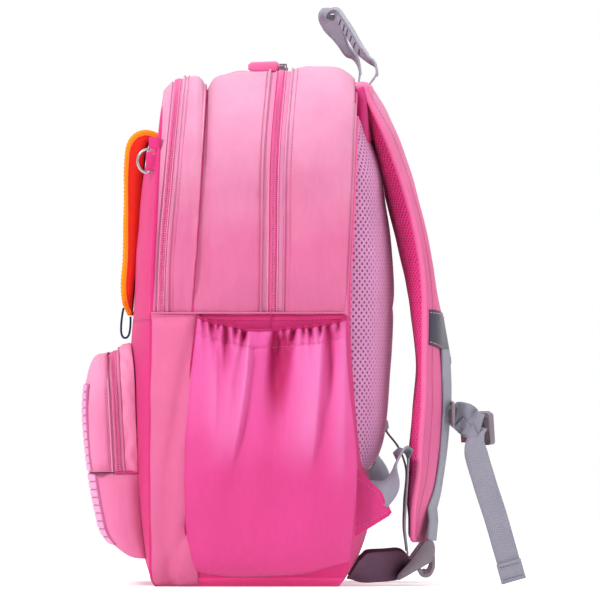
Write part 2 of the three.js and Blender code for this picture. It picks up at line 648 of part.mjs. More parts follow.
// The adjusting tail, which hangs from the plug with its end folded double.
function sternumTail(side) {
  const x = strapCentre(STERNUM.z) + 7.6;
  const route = [[x + 1, 181, 112], [x + 1.4, 189, 84], [x + 0.6, 197, 56], [x - 0.6, 204.5, 30],
    [x, 210.5, 8]];
  const line = smooth(route.map(([px, y, z]) => point(side * px, y, z)), 10);
  const thickness = (t) => (t > 0.83 ? 2.8 : SLIM_WEBBING.thickness);
  return ribbon(line, () => point(0, 1, 0.27), SLIM_WEBBING.width, thickness);
}

SIDES.forEach(([name, side]) => {
  piece(`sternum_keeper_${name}`, sternumKeeper(side), COLOURS.webbing, 0.6);
  piece(`sternum_webbing_${name}`, sternumWebbing(side, side < 0), COLOURS.webbing, 0.7);
});
piece('sternum_tail', sternumTail(1), COLOURS.webbing, 0.7);
piece('buckle_plug', buckleHalf(1, true), COLOURS.plastic, 0.45);
piece('buckle_socket', buckleHalf(-1, false), COLOURS.plastic, 0.45);

// ---- Haul handle --------------------------------------------------------------------------

const GRIP = { width: 13, thickness: 3.4 };   // the webbing folded double

function haulHandle() {
  const route = [[42, 96, 409], [45, 100.5, 416], [40, 95, 426], [28, 82, 445], [14, 68, 459], [0, 61, 462],
    [-14, 66, 452], [-28, 77, 436], [-40, 87, 421], [-42, 92, 409]];
  const line = smooth(route.map(([x, y, z]) => point(x, y, z)), 22);
  const across = (t) => {
    const middle = Math.sin(Math.PI * t) ** 0.6;
    return point(1, 0, 0).lerp(point(0, 0.7, 0.7), middle);
  };
  const fold = (t) => Math.min(1, Math.sin(Math.PI * t) * 1.3);
  const width = (t) => THREE.MathUtils.lerp(WEBBING.width, GRIP.width, fold(t));
  const thickness = (t) => THREE.MathUtils.lerp(WEBBING.thickness, GRIP.thickness, fold(t));
  return ribbon(line, across, width, thickness);
}
piece('haul_handle', haulHandle(), COLOURS.webbing, 0.7);

// ---- Flap and pull cord -------------------------------------------------------------------

const FLAP = { halfWidth: 58, shoulderHalf: 54, cornerHalf: 45 };
const FLAP_OUTER = [[-79.6, 366], [-86, 366.6], [-93.5, 363.5], [-99, 356], [-101.3, 340], [-102, 300],
  [-102.6, 265], [-104.3, 240], [-102.5, 226], [-98.8, 217]];
const FLAP_INNER = [[-79.6, 360], [-84, 360.4], [-88.5, 358], [-91, 352], [-92.3, 338], [-93, 300],
  [-93.2, 265], [-94.8, 240], [-95.2, 226], [-95.8, 217]];

function flap() {
  const halves = FLAP_OUTER.map(() => FLAP.halfWidth);
  halves.splice(-2, 2, FLAP.shoulderHalf, FLAP.cornerHalf);
  const skin = (path) => path.map(([y, z], i) => (
    spread(-halves[i], halves[i], 5).map((x) => point(x, y, z))));
  return slab(skin(FLAP_OUTER), skin(FLAP_INNER));
}
piece('flap', flap(), COLOURS.orange);

// A tube of round cord along a smooth route.
function cord(points, radius, steps) {
  const circle = new THREE.Shape();
  circle.absarc(0, 0, radius, 0, 2 * Math.PI, false);
  const extrudePath = new THREE.CatmullRomCurve3(points, false, 'centripetal');
  const curveSegments = 4;
  return new THREE.ExtrudeGeometry(circle, { steps, extrudePath, bevelEnabled: false, curveSegments });
}

const PULL_CORD = { radius: 0.9, steps: 18 };
const PULL_ROUTE = [[-102.7, 223.2], [-103.6, 219], [-104.4, 213], [-104.8, 207], [-104.5, 202.4],
  [-102.9, 199.3], [-100.6, 199], [-98.7, 201], [-97.7, 205], [-97.2, 210], [-97.1, 216.2]];
piece('pull_cord', cord(PULL_ROUTE.map(([y, z]) => point(0, y, z)), PULL_CORD.radius, PULL_CORD.steps),
  COLOURS.navy, 0.6);

// ---- D-rings ------------------------------------------------------------------------------

const RING = { x: 127.8, y: -80.2, z: 340.8, wire: 1.1, half: 9.4, reach: 9.7 };

function dRing(side) {
  const { half, reach } = RING;
  const outline = [[0, -half + 2], [0, half - 2], [-1.2, half - 0.2], [-5, half - 0.9], [-8.4, half - 4.3],
    [-reach, 0], [-8.4, -half + 4.3], [-5, -half + 0.9], [-1.2, -half + 0.2]];
  const points = outline.map(([dy, dz]) => point(side * RING.x, RING.y + dy, RING.z + dz));
  return wireRing(points, RING.wire, 24, 6);
}

function ringTab(side) {
  const body = box(3.9, 5.8, 15.6, side * RING.x, RING.y - 0.1, RING.z);
  const bore = new THREE.CylinderGeometry(RING.wire + 0.4, RING.wire + 0.4, 20, 16).rotateX(Math.PI / 2);
  return cut(body, bore.translate(side * RING.x, RING.y, RING.z));
}

SIDES.forEach(([name, side]) => {
  piece(`ring_tab_${name}`, ringTab(side), COLOURS.hotPink);
  piece(`d_ring_${name}`, dRing(side), COLOURS.metal, 0.3, 1);
});

// ---- Zip sliders and pullers --------------------------------------------------------------

const SLIDER = { base: 8, height: 2, bridge: 7, bar: 2.6, top: 5.3 };
const SLIDER_HOLE = { half: 2.2, low: 2.3, high: 4.2 };
const PULLER = { wire: 0.55, half: 3, link: 9, pivot: 3.25, tab: 24 };

// Local axes: x is the puller's pin, -y the way the puller lies, z out from the zip.
function slider() {
  const arc = new THREE.Shape();
  arc.moveTo(-SLIDER.bridge / 2, 1);
  arc.lineTo(SLIDER.bridge / 2, 1);
  arc.lineTo(SLIDER.bridge / 2 - 0.6, SLIDER.top);
  arc.lineTo(-SLIDER.bridge / 2 + 0.6, SLIDER.top);
  const hole = new THREE.Path();
  hole.moveTo(-SLIDER_HOLE.half, SLIDER_HOLE.low);
  hole.lineTo(-SLIDER_HOLE.half, SLIDER_HOLE.high);
  hole.lineTo(SLIDER_HOLE.half, SLIDER_HOLE.high);
  hole.lineTo(SLIDER_HOLE.half, SLIDER_HOLE.low);
  arc.holes.push(hole);
  const bridge = plate(arc, SLIDER.bar).rotateX(Math.PI / 2).rotateZ(Math.PI / 2);
  bridge.translate(-SLIDER.bar / 2, 0, 0);
  return join(plate(roundedRect(SLIDER.base / 2, SLIDER.base / 2, 2), SLIDER.height), bridge);
}

function puller(tabWidth, tabHeight) {
  const { half, link, pivot } = PULLER;
  const loop = [[half, 0], [0, 0.1], [-half, 0], [-half - 0.1, -link / 2], [-half, -link], [0, -link - 0.1],
    [half, -link], [half + 0.1, -link / 2]];
  const ring = wireRing(loop.map(([x, y]) => point(x, y, pivot)), PULLER.wire, 12, 6);
  const outline = roundedRect(tabWidth / 2, PULLER.tab / 2, Math.min(tabWidth / 2 - 0.1, 3));
  const tab = plate(outline, tabHeight).translate(0, -link - PULLER.tab / 2 + 1.2, pivot - tabHeight / 2);
  return join(ring, tab);
}

// Puts a slider and its puller on a zip. pin is the puller's pin direction, lies the way it lies.
function zipSlider(name, at, pin, lies, tabWidth, tabHeight) {
  const back = lies.clone().negate();
  piece(`${name}_slider`, place(slider(), pin, back, at), COLOURS.metal, 0.4, 1);
  piece(`${name}_puller`, place(puller(tabWidth, tabHeight), pin, back, at), COLOURS.hotPink, 0.6);
}

const MAIN_SLIDER = { x: 12, z: 415.3 };
SIDES.forEach(([name, side]) => {
  const at = point(side * MAIN_SLIDER.x, mainZip(MAIN_SLIDER.z), MAIN_SLIDER.z);
  zipSlider(`main_${name}`, at, point(1, 0, 0), point(0, -1, 0), 4, 6);
});

const ORGANISER_SLIDER = { x: -140.6, z: 262 };
zipSlider('organiser', point(ORGANISER_SLIDER.x, organiserZip(ORGANISER_SLIDER.z), ORGANISER_SLIDER.z),
  point(0, -1, 0), point(0, 0, -1), 7, 3);

const POCKET_SLIDER = { x: -102.6, z: 128 };
zipSlider('pocket', point(POCKET_SLIDER.x, pocketZip(POCKET_SLIDER.z), POCKET_SLIDER.z),
  point(0, -1, 0), point(0, 0, -1), 7, 3);

export default backpack;
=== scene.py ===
"""A child's school backpack: the looks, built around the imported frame.

Lengths are in millimetres up to mesh_piece(), which turns them into metres. +Z is up, -Y is the
pocket side, +Y is the wearer's side and +X is the wearer's right.
"""
import math

import bpy
import numpy as np
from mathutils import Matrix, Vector, noise


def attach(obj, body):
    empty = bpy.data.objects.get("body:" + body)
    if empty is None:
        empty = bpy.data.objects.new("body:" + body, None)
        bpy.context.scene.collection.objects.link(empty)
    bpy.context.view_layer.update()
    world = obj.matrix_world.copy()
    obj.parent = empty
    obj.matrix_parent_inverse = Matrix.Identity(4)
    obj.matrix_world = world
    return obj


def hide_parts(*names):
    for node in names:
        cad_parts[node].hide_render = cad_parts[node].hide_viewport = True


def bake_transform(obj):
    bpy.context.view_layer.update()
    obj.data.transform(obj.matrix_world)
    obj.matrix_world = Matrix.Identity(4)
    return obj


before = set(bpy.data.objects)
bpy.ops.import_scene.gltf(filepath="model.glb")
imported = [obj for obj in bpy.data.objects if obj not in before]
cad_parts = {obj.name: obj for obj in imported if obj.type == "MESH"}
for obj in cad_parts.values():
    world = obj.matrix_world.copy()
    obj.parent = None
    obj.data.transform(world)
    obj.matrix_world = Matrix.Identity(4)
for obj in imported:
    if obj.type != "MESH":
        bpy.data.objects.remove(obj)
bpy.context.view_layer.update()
MM = 0.001
SIDES = (("right", 1), ("left", -1))

# ---- Driving dimensions, the same as the frame's ------------------------------------------------

HALF_WIDTH = 138
SEAM_TOP = 398
TOP_RADIUS = 82
BOTTOM_RADIUS = 26
ZIP_END = 219
CREASE_Z = 213
MAIN_ZIP_HALF = 9
SLIM_ZIP_HALF = 5.5
SIDE_SHARE = 0.35
WEBBING = 25
SLIM_WEBBING = 19

POCKET_HALF = 102
POCKET_BOTTOM = 22
POCKET_TOP = 190
POCKET_RADIUS = 34
POCKET_SPLIT = 91
STRAP_CENTRE = 58
STRAP_TOP = 401
STRAP_TIP = 38
LOCK_X = 74

# ---- Lines and curves ---------------------------------------------------------------------------


def smooth_values(places, values, at):
    """Values on a smooth curve through the given ones."""
    places = np.asarray(places, float)
    values = np.asarray(values, float)
    slopes = np.gradient(values, places)
    at = np.clip(np.asarray(at, float), places[0], places[-1])
    i = np.clip(np.searchsorted(places, at, side="right") - 1, 0, len(places) - 2)
    step = places[i + 1] - places[i]
    t = (at - places[i]) / step
    rise = (values[i + 1] - values[i]) * (3 * t**2 - 2 * t**3)
    return values[i] + rise + step * (slopes[i] * (t - 2 * t**2 + t**3) + slopes[i + 1] * (t**3 - t**2))


def curve(pairs):
    """A function that gives the value at a place on a smooth curve through [place, value] pairs."""
    places, values = np.array(sorted(pairs), float).T
    return lambda at: smooth_values(places, values, at)


def lerp(a, b, t):
    """The value or the point that lies at a share t of the way from a to b."""
    a, b = np.asarray(a), np.asarray(b)
    return a + (b - a) * t


def ease(t):
    """Rises smoothly from 0 to 1 while t does."""
    t = np.clip(t, 0, 1)
    return t * t * (3 - 2 * t)


def xyz(x, y, z):
    """Points from coordinates that may be grids, rows, columns or single numbers."""
    return np.stack(np.broadcast_arrays(x, y, z), -1)


def unit(vectors):
    vectors = np.asarray(vectors, float)
    return vectors / np.maximum(np.linalg.norm(vectors, axis=-1, keepdims=True), 1e-9)


def lengths_along(points):
    return np.concatenate([[0], np.cumsum(np.linalg.norm(np.diff(points, axis=0), axis=1))])


def smooth_path(points, count):
    """count points, evenly spaced on a smooth curve through the given ones."""
    points = np.array(points, float)
    places = np.concatenate([[0], np.cumsum(np.linalg.norm(np.diff(points, axis=0), axis=1) ** 0.5)])
    fine = np.linspace(0, places[-1], 40 * len(points))
    dense = np.stack([smooth_values(places, points[:, k], fine) for k in range(points.shape[1])], 1)
    return evenly(dense, count)


def evenly(points, count):
    """count points, evenly spaced along the given polyline."""
    run = lengths_along(points)
    at = np.linspace(0, run[-1], count)
    return np.stack([np.interp(at, run, points[:, k]) for k in range(points.shape[1])], 1)


def crowded(count):
    """Numbers from -1 to 1, closer together toward both ends."""
    return np.sin(np.linspace(-np.pi / 2, np.pi / 2, count))


def circle(count, start=0.0):
    turn = (np.arange(count) + start) / count * 2 * np.pi
    return np.stack([np.cos(turn), np.sin(turn)], 1)


def wobble(points, scale, seed):
    """Smooth noise from -1 to 1 at each point, with features about scale millimetres wide."""
    flat = np.asarray(points, float).reshape(-1, 3) / scale + seed * 7.3
    values = [noise.noise(Vector(p)) for p in flat]
    return np.array(values).reshape(np.asarray(points).shape[:-1])


# ---- Profiles: how deep or how far out each line runs -------------------------------------------

# Depth at each height.
front_seam = curve([(0, -75), (5, -78), (14, -79.6), (30, -80), (219, -79.5), (300, -76), (390, -69.5),
                    (400, -68)])
organiser_zip = curve([(219, -71.6), (270, -69.6), (330, -64.6), (405, -57.6)])
valley = curve([(0, -47), (22, -48), (70, -52), (150, -50.4), (220, -46.4), (310, -40), (394, -35.2)])
main_zip = curve([(219, 17.6), (270, 18.4), (350, 20), (410, 26.4)])
rear_seam = curve([(0, 71), (6, 75), (16, 78.4), (38, 80), (222, 77.6), (310, 81.6), (402, 85.6)])
pocket_face = curve([(22, -104), (37, -117.6), (60, -124.2), (86, -128.9), (113, -132.2), (145, -134.2),
                     (166, -133), (190, -130)])
pocket_zip = curve([(91, -105.4), (190, -110.6)])
pad_face = curve([(90, 102), (104, 105.6), (126, 109.6), (150, 111.6), (288, 112.4), (310, 108.8),
                  (332, 106.4), (352, 101.4), (366, 95.6)])
strap_back = curve([(38, 126), (54, 125.6), (73, 126.4), (134, 130.4), (174, 134.6), (194, 132.8),
                    (246, 124), (310, 109.5), (350, 99.5), (390, 92.6), (401, 90)])
strap_edge = curve([(38, 131.5), (64, 132.6), (89, 136), (120, 138.6), (150, 140.8), (202, 140.8),
                    (256, 137.2), (310, 125.5), (358, 109.6), (398, 93)])
strap_outer = curve([(38, 144.5), (60, 149.5), (91, 155), (121, 159), (172, 161.4), (218, 155), (266, 147),
                     (310, 136), (331, 130), (356, 121.6), (374, 114), (391, 105), (401, 97)])

# How far the stuffing stands out of a seam's plane at each height.
front_bulge = curve([(4, 0.5), (30, 6.5), (110, 13), (198, 16), (219, 14.6), (270, 14.4), (286, 13.5),
                     (318, 12.8), (336, 11), (348, 8), (358, 3.6), (368, 0.6), (392, 0)])
back_bulge = curve([(0, 0), (10, 2.5), (22, 7), (38, 12.5), (70, 16), (100, 13), (200, 6), (402, 0)])
yoke_depth = curve([(352, 13), (358, 14.6), (366, 14), (380, 12.4), (392, 10.5), (401, 7)])

# Rise above the bag's outline at each depth.
main_rise = curve([(-35, 0), (-31, 8), (-25, 12.6), (-16, 14.8), (10, 15.8), (32, 17.2), (56, 19.6),
                   (76, 17), (84, 10), (86, 7)])
organiser_rise = curve([(-80, -4), (-71, -1), (-67, 3.4), (-63, 7.4), (-56, 10.4), (-48, 12), (-41, 11),
                        (-37, 6), (-35, -2)])
pocket_rise = curve([(-122, -5.5), (-112, -2.5), (-102, 2.5), (-92, 3.5), (-80, 1)])

# Height of the side pocket's lower seam and of its rim at each depth.
side_pocket_low = curve([(-50, 13), (-44, 12), (-16, 8), (20, 8.4), (48, 11), (66, 16.5), (80, 20)])
side_pocket_rim = curve([(-50, 219), (-44, 217), (-30, 212), (-12, 208.5), (-3, 206), (10, 205.6),
                         (40, 208), (56, 209.6), (72, 213), (80, 215)])

# ---- Meshes -------------------------------------------------------------------------------------

# A part is (vertices, faces, uv). uv is in millimetres: distances along the surface's two ways, or
# simply two of the coordinates on a small part.


def merge(parts):
    vertices, faces, uvs = [], [], []
    start = 0
    for v, f, uv in parts:
        vertices.append(v)
        faces.extend([tuple(i + start for i in face) for face in f])
        uvs.append(uv)
        start += len(v)
    return np.concatenate(vertices), faces, np.concatenate(uvs)


def grid_faces(rows, columns, wrap=False, flip=False, start=0):
    last = columns if wrap else columns - 1
    r, c = np.meshgrid(np.arange(rows - 1), np.arange(last), indexing="ij")
    a = r * columns + c
    b = r * columns + (c + 1) % columns
    quads = np.stack([a, b, b + columns, a + columns], -1).reshape(-1, 4) + start
    return (quads[:, ::-1] if flip else quads).tolist()


def loft_faces(rings, count, start=0):
    """The faces of a solid through rings of points, with both ends closed."""
    last = start + (rings - 1) * count
    ends = [tuple(range(start, start + count))[::-1], tuple(range(last, last + count))]
    return grid_faces(rings, count, wrap=True, start=start) + ends


def grid_uv(grid):
    """Distances over a grid of points: along its rows from the middle, and down its columns."""
    along_rows = np.linalg.norm(np.diff(grid, axis=1), axis=2)
    u = np.concatenate([np.zeros((len(grid), 1)), np.cumsum(along_rows, 1)], 1)
    u -= u[:, u.shape[1] // 2:u.shape[1] // 2 + 1]
    middle = grid[:, grid.shape[1] // 2]
    v = np.repeat(lengths_along(middle)[:, None], grid.shape[1], 1)
    return np.stack([u, v], -1).reshape(-1, 2)


def slab(outer, inner, flip=False):
    """A closed solid between two grids of points."""
    rows, columns = outer.shape[:2]
    count = rows * columns
    faces = grid_faces(rows, columns, flip=flip) + grid_faces(rows, columns, flip=not flip, start=count)
    index = np.arange(count).reshape(rows, columns)
    rim = np.concatenate([index[0], index[1:, -1], index[-1, -2::-1], index[-2:0:-1, 0]]).tolist()
    for a, b in zip(rim, rim[1:] + rim[:1]):
        quad = (b, a, a + count, b + count)
        faces.append(quad[::-1] if flip else quad)
    uv = grid_uv(outer)
    return np.concatenate([outer.reshape(-1, 3), inner.reshape(-1, 3)]), faces, np.concatenate([uv, uv])


def surface(grid, thickness, outward):
    """A closed sheet of fabric. Its outer face runs through a grid of points."""
    normals = unit(np.cross(np.gradient(grid, axis=1), np.gradient(grid, axis=0)))
    flip = np.sum(normals * np.asarray(outward, float)) < 0
    if flip:
        normals = -normals
    return slab(grid, grid - normals * thickness, flip)


def sweep(points, side, up, section, closed=False):
    """A section, in (side, up), carried along a line. The section may differ at each point."""
    section = np.asarray(section, float)
    if section.ndim == 2:
        section = np.repeat(section[None], len(points), 0)
    grid = points[:, None] + section[..., :1] * side[:, None] + section[..., 1:] * up[:, None]
    rows, columns = grid.shape[:2]
    run = lengths_along(points)
    around = np.concatenate([[0], np.cumsum(np.linalg.norm(np.diff(section[0], axis=0), axis=1))])
    uv = np.stack(np.meshgrid(around, run), -1).reshape(-1, 2)
    if closed:
        last = (rows - 1) * columns
        faces = grid_faces(rows, columns, wrap=True)
        faces += [(last + c, last + (c + 1) % columns, (c + 1) % columns, c) for c in range(columns)]
    else:
        faces = loft_faces(rows, columns)
    return grid.reshape(-1, 3), faces, uv


def tangents(points, closed=False):
    if closed:
        return unit(np.roll(points, -1, 0) - np.roll(points, 1, 0))
    return unit(np.gradient(points, axis=0))


def frames_for(points, hint, closed=False):
    """Side and up directions along a line, with side near the hint."""
    ahead = tangents(points, closed)
    hint = np.broadcast_to(np.asarray(hint, float), points.shape)
    up = unit(np.cross(hint, ahead))
    return unit(np.cross(ahead, up)), up


def tube(points, radius, hint, sides=8, closed=False, squash=1.0):
    points = np.asarray(points, float)
    side, up = frames_for(points, hint, closed)
    return sweep(points, side, up, circle(sides) * radius * (1, squash), closed)


BAND_BEVEL = 0.35


def flat_section(width, thickness):
    """A flat band's section, with its corners taken off."""
    w, t = width / 2, thickness / 2
    b = min(BAND_BEVEL, t * 0.9)
    return [(-w, -t + b), (-w + b, -t), (-w / 2, -t), (0, -t), (w / 2, -t), (w - b, -t), (w, -t + b),
            (w, t - b), (w - b, t), (w / 2, t), (0, t), (-w / 2, t), (-w + b, t), (-w, t - b)]


def band(points, across, width, thickness):
    """Webbing along a line. Width and thickness may be lists, one for each point."""
    points = np.asarray(points, float)
    side, up = frames_for(points, across)
    widths = np.broadcast_to(width, len(points))
    thicknesses = np.broadcast_to(thickness, len(points))
    sections = [flat_section(w, t) for w, t in zip(widths, thicknesses)]
    return sweep(points, side, up, sections)


def beads(points, along_way, up, length, radius, flat):
    """A small rounded bar at each point, for stitches and zip teeth."""
    points = np.asarray(points, float)
    along_way = unit(np.broadcast_to(along_way, points.shape))
    up = unit(np.broadcast_to(up, points.shape))
    side = unit(np.cross(along_way, up))
    places = np.array([-0.5, -0.3, 0.3, 0.5]) * length
    swell = np.array([0.45, 1.0, 1.0, 0.45]) * radius
    sides = 6
    cos, sin = circle(sides).T
    rings = (points[:, None, None] + places[:, None, None] * along_way[:, None, None]
             + (swell[:, None] * cos)[None, ..., None] * side[:, None, None]
             + (swell[:, None] * sin * flat)[None, ..., None] * up[:, None, None])
    one = loft_faces(4, sides)
    faces = [tuple(i + k * 4 * sides for i in face) for k in range(len(points)) for face in one]
    vertices = rings.reshape(-1, 3)
    return vertices, faces, vertices[:, :2]


def stitches(points, up, pitch=3.2, length=2.3, radius=0.32):
    """A row of stitches along a line that lies on a surface."""
    points = np.asarray(points, float)
    count = max(2, int(lengths_along(points)[-1] / pitch))
    both = evenly(np.concatenate([points, np.broadcast_to(up, points.shape)], 1), 2 * count + 1)[1::2]
    return beads(both[:, :3], tangents(both[:, :3]), both[:, 3:], length, radius, 0.6)


def signed_volume(mesh):
    mesh.calc_loop_triangles()
    corners = np.zeros(len(mesh.loop_triangles) * 3, np.int32)
    mesh.loop_triangles.foreach_get("vertices", corners)
    places = np.zeros(len(mesh.vertices) * 3)
    mesh.vertices.foreach_get("co", places)
    a, b, c = places.reshape(-1, 3)[corners].reshape(-1, 3, 3).transpose(1, 0, 2)
    return np.sum(a * np.cross(b, c)) / 6


def mesh_piece(name, part, material):
    vertices, faces, uv = part
    mesh = bpy.data.meshes.new(name)
    mesh.from_pydata((np.asarray(vertices) * MM).tolist(), [], faces)
    layer = mesh.uv_layers.new(name="mm")
    loops = np.zeros(len(mesh.loops), np.int32)
    mesh.loops.foreach_get("vertex_index", loops)
    layer.data.foreach_set("uv", np.asarray(uv, np.float32)[loops].ravel())
    mesh.polygons.foreach_set("use_smooth", [True] * len(mesh.polygons))
    mesh.update()
    if signed_volume(mesh) < 0:
        mesh.flip_normals()
    mesh.materials.append(material)
    obj = bpy.data.objects.new(name, mesh)
    bpy.context.scene.collection.objects.link(obj)
    return obj


def add(name, part, material, body, replaces=(), fold=None):
    """A piece that rides on a body, or, given fold, is left unattached with its transform baked into its
    mesh; the heights in fold are not read.
    """
    obj = mesh_piece(name, part, material)
    if fold:
        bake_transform(obj)
    else:
        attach(obj, body)
    if replaces:
        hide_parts(*replaces)
    return obj


# ---- Materials ----------------------------------------------------------------------------------


def srgb(red, green, blue):
    """A linear colour from 0 to 255 screen values."""
    screen = [c / 255 for c in (red, green, blue)]
    return tuple(c / 12.92 if c < 0.04045 else ((c + 0.055) / 1.055) ** 2.4 for c in screen) + (1.0,)


def scaled(colour, share):
    return tuple(min(1.0, c * share) for c in colour[:3]) + (1.0,)


class Shader:
    """A material and short ways to add nodes to it."""

    def __init__(self, name, roughness=0.7, metallic=0.0, sheen=0.0, specular=0.22):
        self.material = bpy.data.materials.new(name)
        self.material.use_nodes = True
        self.tree = self.material.node_tree
        self.bsdf = self.tree.nodes["Principled BSDF"]
        self.bsdf.inputs["Roughness"].default_value = roughness
        self.bsdf.inputs["Metallic"].default_value = metallic
        self.bsdf.inputs["Sheen Weight"].default_value = sheen
        self.bsdf.inputs["Specular IOR Level"].default_value = specular

    def node(self, kind, **inputs):
        made = self.tree.nodes.new(kind)
        for key, value in inputs.items():
            self.feed(made.inputs[key.replace("_", " ")], value)
        return made

    def feed(self, socket, value):
        if isinstance(value, bpy.types.NodeSocket):
            self.tree.links.new(value, socket)
        else:
            socket.default_value = value

    def calc(self, operation, a, b=0.0):
        made = self.tree.nodes.new("ShaderNodeMath")
        made.operation = operation
        self.feed(made.inputs[0], a)
        self.feed(made.inputs[1], b)
        return made.outputs[0]

    def weighted(self, *terms):
        """The sum of values, each times its share."""
        parts = [self.calc("MULTIPLY", value, share) for value, share in terms]
        total = parts[0]
        for part in parts[1:]:
            total = self.calc("ADD", total, part)
        return total

    def uv(self):
        """The two distances over the surface, in millimetres."""
        split = self.node("ShaderNodeSeparateXYZ", Vector=self.node("ShaderNodeUVMap").outputs["UV"])
        return split.outputs["X"], split.outputs["Y"]

    def place(self):
        return self.node("ShaderNodeTexCoord").outputs["Object"]

    def wave(self, distance, pitch):
        """A sine of the distance, from -1 to 1."""
        return self.calc("SINE", self.calc("MULTIPLY", distance, 2 * math.pi / pitch))

    def noise(self, size_mm, detail=3.0, stretch=None):
        where = self.place()
        if stretch:
            where = self.node("ShaderNodeMapping", Vector=where, Scale=stretch).outputs["Vector"]
        made = self.node("ShaderNodeTexNoise", Vector=where, Scale=1000 / size_mm, Detail=detail)
        return made.outputs["Fac"]

    def mix(self, share, a, b):
        made = self.tree.nodes.new("ShaderNodeMix")
        made.data_type = "RGBA"
        self.feed(made.inputs["Factor"], share)
        self.feed(made.inputs[6], a)
        self.feed(made.inputs[7], b)
        return made.outputs[2]

    def ramp(self, value, low, high):
        made = self.node("ShaderNodeMapRange", Value=value)
        made.inputs["From Min"].default_value = low
        made.inputs["From Max"].default_value = high
        return made.outputs["Result"]

    def bump(self, height, depth_mm, strength=1.0, normal=None):
        made = self.node("ShaderNodeBump", Height=height, Distance=depth_mm * MM, Strength=strength)
        if normal is not None:
            self.feed(made.inputs["Normal"], normal)
        return made.outputs["Normal"]

    def finish(self, colour, normal=None, roughness=None):
        self.feed(self.bsdf.inputs["Base Color"], colour)
        if normal is not None:
            self.feed(self.bsdf.inputs["Normal"], normal)
        if roughness is not None:
            self.feed(self.bsdf.inputs["Roughness"], roughness)
        return self.material


FOLD_SHADE = "fold_shade"


def fabric(name, colour, pitch=0.9, twill=0.0, crinkle=0.5, sheen=0.04, roughness=0.62, depth=0.12,
           painted_light_top=None, heights=(0.275, 0.43), folded=None):
    """Woven polyester: threads, an optional twill line, colour variation and a light crinkle.

    The colour fades toward a paler colour between the two heights, in metres above the floor: painted light,
    as if lit from above. The two colours of folded are a painted highlight on the raised parts and painted
    shade in the sunken parts of a gathered piece.
    """
    s = Shader(name, roughness=roughness, sheen=sheen)
    s.bsdf.inputs["Sheen Roughness"].default_value = 0.4
    u, v = s.uv()
    weave = s.calc("MULTIPLY", s.wave(u, pitch), s.wave(v, pitch))
    weave = s.ramp(weave, -1, 1)
    if twill:
        diagonal = s.ramp(s.wave(s.calc("ADD", u, v), twill), -1, 1)
        weave = s.weighted((weave, 0.4), (diagonal, 0.6))
    cloud = s.noise(42, 2)
    slub = s.noise(3.5, 2, (1, 1, 0.25))
    shade = s.ramp(s.weighted((weave, 0.45), (slub, 0.35), (cloud, 0.35)), 0.25, 0.9)
    mixed = s.mix(shade, scaled(colour, 0.86), scaled(colour, 1.07))
    # Painted light: the colour turns toward a paler one higher up, as if lit from above.
    if painted_light_top:
        height = s.node("ShaderNodeSeparateXYZ", Vector=s.place()).outputs["Z"]
        lit_colour = s.mix(shade, scaled(painted_light_top, 0.88), scaled(painted_light_top, 1.06))
        height = s.calc("ADD", height, s.calc("MULTIPLY", s.calc("SUBTRACT", cloud, 0.5), 0.08))
        mixed = s.mix(s.ramp(height, *heights), mixed, lit_colour)
    # Painted highlight on the raised folds and painted shade in the sunken ones, from the fold_shade
    # attribute.
    if folded:
        fold = s.node("ShaderNodeAttribute")
        fold.attribute_name = FOLD_SHADE
        ridge_highlight, crease_shade = folded
        mixed = s.mix(s.ramp(fold.outputs["Fac"], 0.5, 1.3), mixed, ridge_highlight)
        mixed = s.mix(s.ramp(fold.outputs["Fac"], 0.5, 0.0), mixed, crease_shade)
    normal = s.bump(weave, depth, 0.6)
    normal = s.bump(s.noise(9, 3), crinkle, 0.5, normal)
    normal = s.bump(s.noise(34, 2), 6 * crinkle, 0.45, normal)
    return s.finish(mixed, normal)


def sewing_thread(name, colour):
    return fabric(name, colour, pitch=0.5, crinkle=0.02)


def webbing(name, colour, rib=1.5):
    """Woven nylon webbing: ribs across it, a fine thread along it."""
    s = Shader(name, roughness=0.55, sheen=0.03)
    u, v = s.uv()
    zigzag = s.calc("ADD", v, s.calc("MULTIPLY", s.calc("PINGPONG", u, 3.0), 0.5))
    ribs = s.ramp(s.wave(zigzag, rib), -1, 1)
    threads = s.ramp(s.wave(u, 0.8), -1, 1)
    height = s.weighted((ribs, 0.7), (threads, 0.3))
    shade = s.ramp(s.weighted((height, 0.6), (s.noise(12), 0.5)), 0.2, 0.95)
    mixed = s.mix(shade, scaled(colour, 0.72), scaled(colour, 1.12))
    return s.finish(mixed, s.bump(height, 0.3, 0.8))


def air_mesh(name, colour, hole_core_and_shade, pitch, shallow=None):
    """Spacer mesh: a knitted face with staggered oval holes, through which the core shows, coloured darker
    as the core plus painted shade inside each hole.

    The holes fade between the two depths of shallow, in metres, where the mesh is pressed flat.
    """
    s = Shader(name, roughness=0.8, sheen=0.05)
    u, v = s.uv()
    cells = s.calc("MULTIPLY", s.wave(u, pitch), s.wave(v, pitch * 1.15))
    hole = s.ramp(cells, 0.32, 0.62)
    if shallow:
        depth = s.node("ShaderNodeSeparateXYZ", Vector=s.place()).outputs["Y"]
        flattened = s.calc("MULTIPLY", s.ramp(depth, *shallow), 0.6)
        hole = s.calc("MULTIPLY", hole, s.calc("SUBTRACT", 1.0, flattened))
    knit = s.ramp(s.wave(s.calc("ADD", u, v), 0.9), -1, 1)
    thread = s.mix(s.calc("MULTIPLY", knit, 0.6), scaled(colour, 0.9), scaled(colour, 1.08))
    cloud = s.mix(s.ramp(s.noise(30), 0.3, 0.7), thread, scaled(colour, 1.05))
    mixed = s.mix(hole, cloud, hole_core_and_shade)
    height = s.calc("SUBTRACT", s.calc("MULTIPLY", knit, 0.15), hole)
    return s.finish(mixed, s.bump(height, 0.9, 0.9))


